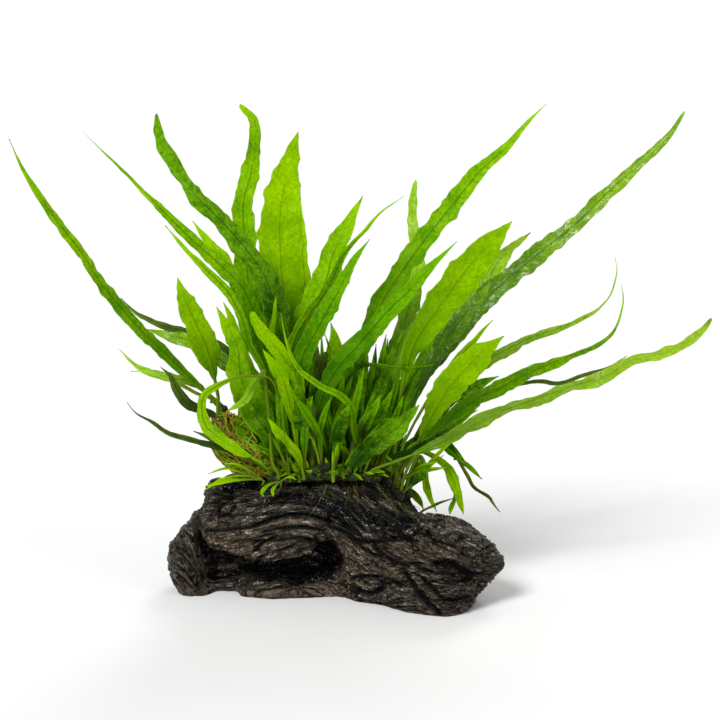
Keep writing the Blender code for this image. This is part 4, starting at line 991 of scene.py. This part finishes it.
def add_tube(shape, path, radii, sides, **stored):
    """A round strand along the path, with a point at each end."""
    count = len(path)
    along = unit(np.gradient(path, axis=0))
    side = unit(np.cross(along, np.array((0.31, 0.95, 0.05))))
    up = np.cross(side, along)
    angle = 2 * math.pi * np.arange(sides) / sides
    ring = (side[:, None] * np.cos(angle)[None, :, None]
            + up[:, None] * np.sin(angle)[None, :, None])
    points = (path[:, None] + ring * np.asarray(radii)[:, None, None]).reshape(-1, 3)
    caps = np.array((path[0] - along[0] * radii[0], path[-1] + along[-1] * radii[-1]))
    faces = []
    for i in range(count - 1):
        low = i * sides
        for k in range(sides):
            n = (k + 1) % sides
            faces.append((low + k, low + n, low + sides + n, low + sides + k))
    first, last = count * sides, count * sides + 1
    for k in range(sides):
        n = (k + 1) % sides
        faces.append((first, n, k))
        faces.append((last, first - sides + k, first - sides + n))
    rows = {}
    for name, values in stored.items():
        each = np.repeat(values, sides, axis=0)
        rows[name] = np.vstack((each, values[:1], values[-1:]))
    shape.add(np.vstack((points, caps)), faces, **rows)


def frond_path(frond):
    """The frond's midrib, from inside the stem that it grows from to its tip."""
    foot = np.array(frond.foot, float)
    flat = np.array([(foot[0], foot[2]), *frond.path])
    reach = np.concatenate(([0], np.cumsum(np.linalg.norm(np.diff(flat, axis=0), axis=1))))
    points = [foot * MM]
    for (across, up), part in zip(frond.path, reach[1:] / reach[-1]):
        depth = (foot[1] + SPREAD * (frond.tip - foot[1]) * part ** SET_BACK
                 + frond.bow * math.sin(math.pi * part))
        points.append(seen(across, up, depth))
    return points


def blade_widths(frond, part):
    """Widths at these shares of the length: a stalk, then a blade that swells and tapers."""
    along = np.clip((part - frond.stalk) / (1 - frond.stalk), 0, 1)
    belly = (frond.belly - frond.stalk) / (1 - frond.stalk)
    swell = np.sin(math.pi * along ** (math.log(0.5) / math.log(belly)))
    blunt = BLUNT_SWELL if frond.name in BLUNT_TIPS else TIP_SWELL
    swell = np.clip(swell, 0, 1) ** np.where(along > belly, blunt, SWELL)
    stalk = STALK_WIDTH * (1 - along)
    return np.maximum(stalk + (frond.width * MM - stalk) * swell, TIP_SIZE), along


def column_step(frond):
    """Every how many of the columns a blade uses: a broad frond has them all."""
    if frond.path:
        return 1 if frond.width > BROAD_FROND else 2
    return 2 if frond.width > NARROW_LEAF else 4


def add_leaf(shape, frond, points, seed):
    """One leaf: a thin channelled blade with a midrib, wavy edges and shallow blisters."""
    draw = np.random.default_rng(seed)
    root = points[0] - np.array((0, 0, FOOT_DEPTH))
    spacing = RING_SPACING if frond.width > NARROW_LEAF else 1.8 * RING_SPACING
    path, reach = curve_through((root, *points), spacing)
    count = len(path)
    at = np.linspace(0, reach, count)
    part = np.clip((at - FOOT_DEPTH) / (reach - FOOT_DEPTH), 0, 1)
    width, blade = blade_widths(frond, part)
    half = width / 2 * np.interp(blade, (0, 1), SLIM.get(frond.name, (1, 1)))

    along = unit(np.gradient(path, axis=0))
    front = unit(FRONT - along * (along @ FRONT)[:, None])
    turn = np.radians(np.interp(part, np.linspace(0, 1, len(frond.turns)), frond.turns))
    turn = turn + 0.10 * wavy(draw, at, 0.030)
    front = front * np.cos(turn)[:, None] + np.cross(along, front) * np.sin(turn)[:, None]
    side = np.cross(along, front)

    places = COLUMN_PLACES[::column_step(frond)]
    a = places[None, :]
    left = a < 0
    size = np.clip(half / FULL_RELIEF, 0, 1.25)
    edges = []
    ripples = []
    for _ in range(2):
        edges.append(sum(high * wavy(draw, at, wide) for high, wide in SCALLOPS) * size)
        ripples.append(sum(high * wavy(draw, at, wide) for high, wide in RIPPLES) * size)
    edge = np.where(left, edges[0][:, None], edges[1][:, None])
    ripple = np.where(left, ripples[0][:, None], ripples[1][:, None])
    x = a * (half[:, None] + edge * a ** 2)
    lift = CHANNEL * half[:, None] * np.abs(a) ** 1.4 + ripple * a ** 2
    grid = np.stack((x / 0.0030, np.broadcast_to(at[:, None] / 0.0042, x.shape),
                     np.full(x.shape, seed * 3.1)), -1)
    crinkle = rough(grid.reshape(-1, 3), 1).reshape(x.shape)
    blister = BLISTER.get(frond.tone, SMOOTH_BLISTER) * np.clip(size, 0, 1)[:, None]
    lift = lift + blister * (1 - 0.6 * a ** 2) * crinkle
    rib = RIB_HEIGHT * np.exp(-(x / RIB_REACH) ** 2) * (1 - a ** 2)
    skin = SKIN_THICKNESS * np.sqrt(np.clip(1 - a ** 6, 0, 1))
    thick = np.minimum(rib * (1 - 0.6 * blade[:, None]) + skin, 0.62 * half[:, None])

    def sheet(offset, columns):
        return (path[:, None] + side[:, None] * x[:, columns, None]
                + front[:, None] * (lift + offset)[:, columns, None])

    columns = len(places)
    whole = slice(0, columns)
    inner = slice(1, columns - 1)
    top = sheet(thick, whole)
    below = sheet(-thick, inner)
    points = np.vstack((top.reshape(-1, 3), below.reshape(-1, 3)))
    upper = np.arange(count * columns).reshape(count, columns)
    lower = upper.copy()
    lower[:, inner] = count * columns + np.arange(count * (columns - 2)).reshape(count, -1)

    def quads(grid, flip):
        cells = np.stack((grid[:-1, :-1], grid[:-1, 1:], grid[1:, 1:], grid[1:, :-1]), -1)
        return (cells[..., ::-1] if flip else cells).reshape(-1, 4).tolist()

    faces = quads(upper, False) + quads(lower, True)
    for row, flip in ((0, True), (count - 1, False)):
        for j in range(columns - 1):
            face = [upper[row, j], upper[row, j + 1], lower[row, j + 1], lower[row, j]]
            face = list(dict.fromkeys(face))
            faces.append(face if flip else face[::-1])

    def stored(grid_columns):
        shape_of = x[:, grid_columns].shape
        place = np.stack((np.broadcast_to(a[:, grid_columns], shape_of),
                          np.broadcast_to(at[:, None], shape_of), x[:, grid_columns]), -1)
        look = np.stack((np.broadcast_to(blade[:, None], shape_of),
                         np.full(shape_of, (seed * 0.618) % 1),
                         np.broadcast_to(half[:, None], shape_of)), -1)
        return place.reshape(-1, 3), look.reshape(-1, 3)

    place_top, look_top = stored(whole)
    place_below, look_below = stored(inner)
    shape.add(points, faces, leaf_place=np.vstack((place_top, place_below)),
              leaf_look=np.vstack((look_top, look_below)))


def round_off(value, low, high):
    """A soft step over numbers: 0 under low, 1 over high."""
    part = np.clip((value - low) / (high - low), 0, 1)
    return part * part * (3 - 2 * part)


def remeshed(name, meshes, voxel, smoothing):
    """The meshes grown together into one even mesh."""
    bm = bmesh.new()
    for mesh in meshes:
        bm.from_mesh(mesh)
    joined = bpy.data.meshes.new(name + "_joined")
    bm.to_mesh(joined)
    bm.free()
    guide = bpy.data.objects.new(name + "_joined", joined)
    bpy.context.scene.collection.objects.link(guide)
    grow = guide.modifiers.new("Grow together", "REMESH")
    grow.mode = "VOXEL"
    grow.voxel_size = voxel
    ease = guide.modifiers.new("Ease", "SMOOTH")
    ease.factor = 0.5
    ease.iterations = smoothing
    graph = bpy.context.evaluated_depsgraph_get()
    mesh = bpy.data.meshes.new_from_object(guide.evaluated_get(graph), depsgraph=graph)
    bpy.data.objects.remove(guide)
    mesh.name = name
    mesh.shade_smooth()
    return mesh


def read_points(mesh):
    """The points of a mesh and the directions that they face."""
    points = np.empty(3 * len(mesh.vertices), np.float32)
    mesh.vertices.foreach_get("co", points)
    normals = np.empty(3 * len(mesh.vertices), np.float32)
    mesh.vertex_normals.foreach_get("vector", normals)
    return points.reshape(-1, 3).astype(float), normals.reshape(-1, 3).astype(float)


def write_points(mesh, points):
    """Moves the points of a mesh to these places."""
    mesh.vertices.foreach_set("co", points.astype(np.float32).ravel())
    mesh.update()


def store(mesh, name, *columns):
    """Keeps three columns of numbers at the points of a mesh."""
    layer = mesh.attributes.new(name, "FLOAT_VECTOR", "POINT")
    layer.data.foreach_set("vector", np.stack(columns, 1).ravel())


def front_view(points):
    """Where the lines of sight to these points cross the plane y = 0, in millimetres."""
    on_plane = EYE + (points - EYE) * (-EYE[1] / (points[:, 1] - EYE[1]))[:, None]
    return on_plane[:, 0] / MM, on_plane[:, 2] / MM


def facing(points, normals, tree):
    """How well each point shows from the front: nothing where the wood hides it."""
    sight = unit(EYE - points)
    shown = round_off(np.einsum("ij,ij->i", sight, normals), 0.02, 0.22)
    for i in np.flatnonzero(shown > 0):
        start = points[i] + normals[i] * 0.0012 + sight[i] * 0.0008
        if tree.ray_cast(Vector(start), Vector(sight[i]))[0] is not None:
            shown[i] = 0
    return shown


def distance_to(across, up, points):
    """How far each point of the front view lies from a smooth line, in millimetres."""
    line, _ = curve_through(points, 2.0)
    best = np.full(len(across), 1e9)
    for (x0, y0), (x1, y1) in zip(line, line[1:]):
        dx, dy = x1 - x0, y1 - y0
        part = np.clip(((across - x0) * dx + (up - y0) * dy) / (dx * dx + dy * dy), 0, 1)
        best = np.minimum(best, np.hypot(across - x0 - part * dx, up - y0 - part * dy))
    return best


def grain_place(across, up):
    """Where a point lies along and across the grain, which follows the arch of the wood."""
    x, y = np.array(GRAIN_LINE, float).T
    line = sum(np.interp(across + s, x, y) for s in (-5, -2.5, 0, 2.5, 5)) / 5
    follow = round_off(up, -14, 22)
    grain = up - GRAIN_LEVEL - (line - GRAIN_LEVEL) * follow
    arm = round_off(-across, 60, 66)
    return across + arm * 0.6 * up, grain * (1 - arm) + arm * (0.8 * across + 0.8 * up)


def carve_wood(mesh, look):
    """Raises the grain, opens the cracks and stores where each colour lies."""
    points, normals = read_points(mesh)
    tree = BVHTree.FromPolygons([tuple(p) for p in points], [tuple(f.vertices) for f in mesh.polygons])
    across, up = front_view(points)
    shown = facing(points, normals, tree)
    along, grain = grain_place(across, up)
    x, y, z = points.T / MM

    arm = round_off(-across, ARM_START - 3, ARM_START + 3)
    calm = np.maximum(0.70 * arm, 0.45 * round_off(across, 2, 14))
    coarse = rough(np.stack((along / 24, grain / 2.7, y / 7), 1)) * (1 - calm)
    fine = rough(np.stack((along / 11, grain / 1.05, y / 2.6), 1)) * (1 - 0.6 * arm)
    lumps = rough(np.stack((x / 20, y / 13, z / 12), 1))
    patch = round_off(rough(np.stack((x / 26, y / 26, z / 18), 1), 1), -0.35, 0.25)
    seam = np.abs(rough(np.stack((along / 36, grain / 5.2, y / 12), 1), 1))
    crack = round_off(1 - seam * 9, 0.0, 0.9) * round_off(coarse, -0.6, 0.2)
    fibres = rough(np.stack((along / 15, grain / 1.9, y / 4), 1), 1)
    groove = round_off(1 - np.abs(fibres) * 8, 0.0, 1.0) * (1 - 0.8 * arm)
    worm = rough(np.stack((x / 2.9, y / 2.9, z / 2.9), 1), 1)
    eaten = np.maximum(round_off(-across, 61, 65), round_off(across, 34, 44) * round_off(up, 12, 20))
    pits = round_off(worm, 0.16, 0.42) * (0.25 + 0.75 * eaten) * round_off(lumps + eaten, -0.1, 0.5)

    ridges = look.ridge * coarse * (0.35 + 0.65 * patch) + look.fine_ridge * fine
    rise = ridges + look.lump * lumps - look.crack * crack - look.pit * pits
    rise = rise - look.fine_ridge * groove
    # Painted shade: the mask of cracks, pits and grooves that the material paints near black
    hollow_shade = np.maximum(np.maximum(0.85 * crack, 0.65 * pits), 0.55 * groove)
    for half_width, depth, *line in GROOVES:
        away = distance_to(across, up, line) * (1 + 0.25 * fine)
        rise = rise - depth * MM * np.exp(-(away / half_width) ** 2) * shown
        hollow_shade = np.maximum(hollow_shade, (1 - round_off(away, half_width * 0.7, half_width * 1.7)) * shown)
    for half_width, height, *line in RIDGES:
        away = distance_to(across, up, line)
        rise = rise + height * MM * np.exp(-(away / half_width) ** 2) * shown
    rise = rise * round_off(z, 0.3, 3.0)
    points = points + normals * rise[:, None]
    points[:, 2] = np.maximum(points[:, 2], 0)
    write_points(mesh, points)

    # Real stains and films, and painted shadow along grooves and under ledges
    masks = {kind: np.zeros(len(x)) for kind in ("brown", "moss", "black", "grey")}
    for kind, radius, strength, *line in STAINS_AND_SHADOWS:
        away = distance_to(across, up, line) + 0.35 * radius * coarse
        here = strength * (1 - round_off(away, 0.45 * radius, 1.25 * radius)) * shown
        masks[kind] = np.maximum(masks[kind], here)
    under_plant = round_off(z, 33, 46) * round_off(24 - x, 0, 12) * (0.75 + 0.4 * lumps)
    masks["moss"] = np.maximum(masks["moss"], np.clip(under_plant, 0, 1))
    # Painted shade inside the cavity
    cavity = (round_off(x, -48, -42) * round_off(-x, 1, 4) * round_off(y, -15, -7)
              * round_off(30 - y, 0, 6) * round_off(z, 4, 8) * round_off(26 - z, 0, 3))
    masks["black"] = np.maximum(masks["black"], cavity)
    masks["brown"] = np.maximum(masks["brown"], 0.35 * round_off(lumps, 0.1, 0.6))
    crest = np.clip(0.5 + 0.50 * coarse + 0.55 * fine - 0.5 * crack, 0, 1)
    along = along + arm * ARM_GRAIN * (along + ARM_START)
    store(mesh, "wood_grain", along * MM, grain * MM, y * MM)
    store(mesh, "wood_relief", crest, np.clip(hollow_shade, 0, 1), masks["grey"])
    store(mesh, "wood_stain", masks["brown"], masks["moss"], masks["black"])


def stem_mesh(name, runs):
    """Stems grown together, with lumps and rings."""
    shape = Shape()
    for *points, radius in runs:
        path, reach = curve_through(np.array(points) * MM, STEM_SPACING)
        at = np.linspace(0, reach, len(path))
        swell = 1 + 0.10 * np.sin(2 * math.pi * at / 0.0052) + 0.07 * np.sin(at / 0.0011)
        add_tube(shape, path, radius * MM * swell, 12)
    mesh = bpy.data.meshes.new(name)
    mesh.from_pydata(np.vstack(shape.points).tolist(), [], shape.faces)
    stems = remeshed(name, [mesh], STEM_VOXEL, 3)
    points, normals = read_points(stems)
    scales = rough(points / 0.0021) * 0.00030 + rough(points / 0.0008, 1) * 0.00010
    write_points(stems, points + normals * scales[:, None])
    return stems


def stem_spot(draw, run):
    """A spot drawn on the middle line of a stem, and the stem's radius."""
    *points, radius = run
    spine, _ = curve_through(np.array(points) * MM, STEM_SPACING)
    return spine[int(draw.integers(0, len(spine)))], radius


def strand_row(draw, count, old):
    """What a strand stores at each point: its length so far, its seed and how old it is."""
    ripe = np.clip(np.linspace(old, old + 0.25, count) + draw.uniform(-0.15, 0.15), 0, 1)
    return np.stack((np.linspace(0, count * 0.001, count),
                     np.full(count, draw.uniform()), ripe), 1)


def add_strand(shape, draw, points, width, old, sides=5, spacing=0.0011):
    """One tapering strand along the points."""
    path, _ = curve_through(points, spacing)
    count = len(path)
    taper = np.clip(1.25 - np.linspace(0, 1, count), 0.25, 1)
    radii = width / 2 * taper * (1 + 0.15 * draw.uniform(-1, 1, count))
    add_tube(shape, path, radii, sides, strand=strand_row(draw, count, old))


def add_root_tuft(shape, draw, look):
    """Tangled strands that hang from the rising stem and fill the tuft."""
    height, left, right, front, back = (np.array(c, float) for c in zip(*ROOT_TUFT))

    def inside(x, y, z):
        across = np.interp(z, height, left), np.interp(z, height, right)
        deep = np.interp(z, height, front), np.interp(z, height, back)
        return np.array((across[0] + x * (across[1] - across[0]),
                         deep[0] + y * (deep[1] - deep[0]), z)) * MM

    for _ in range(ROOT_STRANDS):
        top = draw.uniform(60, 83)
        bottom = draw.uniform(53.5, 57)
        steps = int(draw.integers(5, 9))
        x, y = draw.uniform(-0.2, 1.8), draw.uniform(0.1, 0.9)
        points = []
        for i in range(steps):
            z = top + (bottom - top) * i / (steps - 1) + draw.uniform(-2.2, 2.2) * (0 < i)
            points.append(inside(x, y, z))
            x = float(np.clip(x + draw.uniform(-0.55, 0.55), -0.35, 1.95))
            y = float(np.clip(y + draw.uniform(-0.38, 0.38), -0.05, 1.05))
        width = look.strand * draw.uniform(0.7, 1.3)
        add_strand(shape, draw, points, width, draw.uniform(-0.1, 0.6))


def add_wood_roots(shape, draw, look, tree):
    """Fine roots that creep over the wood from the stems."""
    for _ in range(WOOD_ROOTS):
        start, _ = stem_spot(draw, RHIZOME_RUNS[int(draw.integers(0, len(RHIZOME_RUNS)))])
        away = start[:2] - np.array((-2, 4)) * MM
        heading = math.atan2(away[1], away[0]) + draw.uniform(-0.9, 0.9)
        at = Vector(start) - Vector((0, 0, 0.002))
        points = []
        for _ in range(int(draw.integers(6, 19))):
            step = Vector((math.cos(heading), math.sin(heading), -0.9)) * 0.0014
            found, normal, _, _ = tree.find_nearest(at + step)
            if found is None:
                break
            at = found + normal * (0.00012 + 0.0004 * max(0, draw.normal()))
            points.append(np.array(at))
            heading += draw.uniform(-0.45, 0.45)
        if len(points) > 3:
            width = look.hair * draw.uniform(0.7, 1.6)
            add_strand(shape, draw, points, width, draw.uniform(0.25, 0.9), 4, 0.0013)


def add_stem_hairs(shape, draw, look):
    """Short stiff hairs on the stems."""
    for _ in range(STEM_HAIRS):
        start, radius = stem_spot(draw, RHIZOME_RUNS[int(draw.integers(0, len(RHIZOME_RUNS)))])
        away = unit(draw.normal(size=3) + np.array((0, -0.4, 0.2)))
        bend = unit(draw.normal(size=3)) * 0.0009
        reach = draw.uniform(0.0010, 0.0028)
        foot = start + away * radius * MM * 0.7
        points = [foot, foot + away * reach * 0.5 + bend * 0.3, foot + away * reach + bend]
        add_strand(shape, draw, points, look.hair * 0.9, 0.8, 3, 0.0006)


def add_sprouts(shapes):
    """Seeded leaves crowded on the stems, which lean out from the middle of the plant."""
    draw = np.random.default_rng(SPROUT_SEED)
    seed = FIRST_SPROUT
    for crowd in CROWDS:
        for _ in range(crowd.count):
            seed += 1
            foot, radius = stem_spot(draw, RHIZOME_RUNS[int(draw.choice(crowd.runs))])
            foot = foot + np.array((0, 0, 0.5 * radius * MM))
            reach = draw.uniform(*crowd.lengths) * MM * (0.55 if foot[0] < CROWD_LEFT else 1)
            outward = np.append((foot[:2] - SPROUT_MIDDLE) * 16, 0) + draw.normal(size=3) * 0.22
            aside = crowd.forward * np.array((draw.normal(), -1, -0.7 * draw.uniform()))
            heading = unit(np.array((0, 0, 1)) + aside + outward * draw.uniform(*crowd.lean))
            bend = unit(draw.normal(size=3) * (1 + crowd.forward) + outward * 2
                        - np.array((0, 0, 0.9)))
            points = [foot + heading * reach * part + bend * reach * crowd.bend * part ** 2
                      for part in (0, 0.3, 0.65, 1.0)]
            tone = str(draw.choice(crowd.tones))
            turns = tuple(draw.uniform(-50, 50, 2))
            width = draw.uniform(*crowd.widths)
            leaf = Frond("sprout", None, None, 0, 0, width, turns, crowd.stalk, 0.6, tone)
            add_leaf(shapes[tone], leaf, points, seed)


def needs(condition, message):
    """Stops with the message where the condition isn't met."""
    if not condition:
        raise RuntimeError(message)


# The steps, each one an operator

class FERN_OT_driftwood(bpy.types.Operator):
    """Weathers the driftwood and gives it its grain, cracks and films"""
    bl_idname = "fern.driftwood"
    bl_label = "Driftwood"
    bl_options = {"REGISTER", "UNDO"}

    def execute(self, context):
        look = context.scene.fern_wood
        log, arm = (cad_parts[name].data.copy() for name in WOOD_NODES)
        arm.transform(Matrix.Translation(ARM_CLOSE))
        mesh = remeshed("driftwood", (log, arm), look.voxel, 5)
        carve_wood(mesh, look)
        wood = add_piece("driftwood", mesh, wood_material(look))
        settle(wood, "wet_driftwood", *WOOD_NODES)
        return {"FINISHED"}


class FERN_OT_stems(bpy.types.Operator):
    """Grows the creeping stem along the wood and the stem that rises on the left"""
    bl_idname = "fern.stems"
    bl_label = "Creeping stems"
    bl_options = {"REGISTER", "UNDO"}

    def execute(self, context):
        finish = stem_material(context.scene.fern_roots)
        runs = RHIZOME_RUNS + (OLD_STEM,)
        creeping = add_piece("creeping_stems", stem_mesh("creeping_stems", runs), finish)
        settle(creeping, "rhizome", "rhizome")
        runs = ((*RISING_STEM, RISING_RADIUS),)
        rising = add_piece("rising_stem", stem_mesh("rising_stem", runs), finish)
        settle(rising, "rhizome", "rhizome_rising_branch")
        return {"FINISHED"}


class FERN_OT_roots(bpy.types.Operator):
    """Grows the tuft of roots, the fine roots on the wood and the hairs on the stems"""
    bl_idname = "fern.roots"
    bl_label = "Roots"
    bl_options = {"REGISTER", "UNDO"}

    def execute(self, context):
        look = context.scene.fern_roots
        wood = bpy.data.objects.get("driftwood")
        needs(wood is not None, "the roots need the driftwood that they hold")
        tree = BVHTree.FromObject(wood, context.evaluated_depsgraph_get())
        draw = np.random.default_rng(ROOT_SEED)
        tuft = Shape("strand")
        add_root_tuft(tuft, draw, look)
        settle(tuft.build("root_tuft", root_material(look, "tuft_strands", 0.75)), "roots", "roots")
        fine = Shape("strand")
        add_wood_roots(fine, draw, look, tree)
        add_stem_hairs(fine, draw, look)
        settle(fine.build("root_hairs", root_material(look, "fine_roots", 0.35)), "roots")
        return {"FINISHED"}


class FERN_OT_fronds(bpy.types.Operator):
    """Grows each long frond in its own green"""
    bl_idname = "fern.fronds"
    bl_label = "Fronds"
    bl_options = {"REGISTER", "UNDO"}

    def execute(self, context):
        for seed, frond in enumerate(FRONDS):
            shape = Shape("leaf_place", "leaf_look")
            add_leaf(shape, frond, frond_path(frond), seed + 1)
            finish = leaf_finish(SHADES.get(frond.name, frond.tone))
            leaf = shape.build(frond.name.replace("frond", "leaf"), finish)
            settle(leaf, "leaf_" + frond.tone, frond.name)
        return {"FINISHED"}


class FERN_OT_young_leaves(bpy.types.Operator):
    """Grows the young leaves on the stems and the plantlets at the front"""
    bl_idname = "fern.young_leaves"
    bl_label = "Young leaves"
    bl_options = {"REGISTER", "UNDO"}

    def execute(self, context):
        shapes = {tone: Shape("leaf_place", "leaf_look") for tone in TONES}
        for seed, leaf in enumerate(YOUNG_LEAVES + SMALL_LEAVES):
            tone = YOUNG_SHADES.get(leaf.tone, leaf.tone)
            add_leaf(shapes[tone], leaf, frond_path(leaf), 100 + seed)
        add_sprouts(shapes)
        for tone, shape in shapes.items():
            if shape.count:
                slot = "leaf_" + YOUNG_SLOTS.get(tone, tone)
                settle(shape.build("young_leaves_" + tone, leaf_finish(tone)), slot)
        for name, leaves, tone in (("plantlet_left", LEFT_PLANTLET, "bright"),
                                   ("plantlet_front", FRONT_PLANTLET, "mid")):
            shape = Shape("leaf_place", "leaf_look")
            for seed, (points, width) in enumerate(leaves):
                leaf = Frond(name, None, None, 0, 0, width, PLANTLET_TURNS, 0.06, 0.66, tone)
                add_leaf(shape, leaf, [MM * np.array(p, float) for p in points], 200 + seed)
            settle(shape.build("leaves_of_" + name, leaf_finish(tone)), "leaf_" + tone, name)
        return {"FINISHED"}


class FERN_OT_studio(bpy.types.Operator):
    """Sets the pale floor, the soft lights and the camera"""
    bl_idname = "fern.studio"
    bl_label = "Floor, lights and camera"
    bl_options = {"REGISTER", "UNDO"}

    def execute(self, context):
        look = context.scene.fern_studio
        bm = bmesh.new()
        bmesh.ops.create_grid(bm, x_segments=1, y_segments=1, size=FLOOR_REACH)
        mesh = bpy.data.meshes.new("floor")
        bm.to_mesh(mesh)
        bm.free()
        add_piece("floor", mesh, floor_material(look))

        for name, place, power in (("key_light", KEY_PLACE, look.key),
                                   ("fill_light", FILL_PLACE, look.fill),
                                   ("back_light", BACK_PLACE, look.back)):
            lamp = bpy.data.lights.new(name, "SUN")
            lamp.energy = power
            lamp.angle = look.softness
            sun = bpy.data.objects.new(name, lamp)
            sun.location = place
            aim = Vector(AIM) - sun.location
            sun.rotation_euler = aim.to_track_quat("-Z", "Y").to_euler()
            context.scene.collection.objects.link(sun)

        world = bpy.data.worlds.new("even_light")
        world.use_nodes = True
        sky = world.node_tree.nodes["Background"]
        sky.inputs["Color"].default_value = (1, 1, 1, 1)
        sky.inputs["Strength"].default_value = look.sky
        context.scene.world = world
        context.scene.view_settings.view_transform = "Standard"

        lens = bpy.data.cameras.new("camera")
        lens.lens = VIEW_LENS
        camera = bpy.data.objects.new("camera", lens)
        camera.location = EYE
        camera.rotation_euler = (math.pi / 2 - VIEW_TILT, 0, 0)
        context.scene.collection.objects.link(camera)
        context.scene.camera = camera
        return {"FINISHED"}


def leaf_finish(tone):
    """The finish of this tone, made once."""
    made = bpy.data.materials.get(tone + "_leaf_tissue")
    return made or leaf_material(bpy.context.scene.fern_leaves, tone)


class FERN_PT_panel(bpy.types.Panel):
    """Lists the steps and the looks of the fern"""
    bl_idname = "FERN_PT_panel"
    bl_label = "Java fern"
    bl_space_type = "VIEW_3D"
    bl_region_type = "UI"
    bl_category = "Java fern"

    def draw(self, context):
        steps = self.layout.column(align=True)
        for step in STEPS:
            steps.operator(step.bl_idname)
        for title, name in LOOKS:
            box = self.layout.box()
            box.label(text=title)
            group = getattr(context.scene, name)
            for key in group.bl_rna.properties.keys():
                if key not in ("rna_type", "name"):
                    box.prop(group, key)


STEPS = (FERN_OT_driftwood, FERN_OT_stems, FERN_OT_roots, FERN_OT_fronds,
         FERN_OT_young_leaves, FERN_OT_studio)
GROUPS = (FernWoodLook, FernLeafLook, FernRootLook, FernStudioLook)
LOOKS = (("Driftwood", "fern_wood"), ("Leaves", "fern_leaves"), ("Stems and roots", "fern_roots"),
         ("Studio", "fern_studio"))


def register():
    for made in (*GROUPS, *STEPS, FERN_PT_panel):
        bpy.utils.register_class(made)
    for group, (_, name) in zip(GROUPS, LOOKS):
        setattr(bpy.types.Scene, name, PointerProperty(type=group))


def unregister():
    for _, name in LOOKS:
        delattr(bpy.types.Scene, name)
    for made in reversed((*GROUPS, *STEPS, FERN_PT_panel)):
        bpy.utils.unregister_class(made)


def main():
    register()
    for step in STEPS:
        name = step.bl_idname.split(".")[1]
        getattr(bpy.ops.fern, name)()


if __name__ == "__main__":
    main()
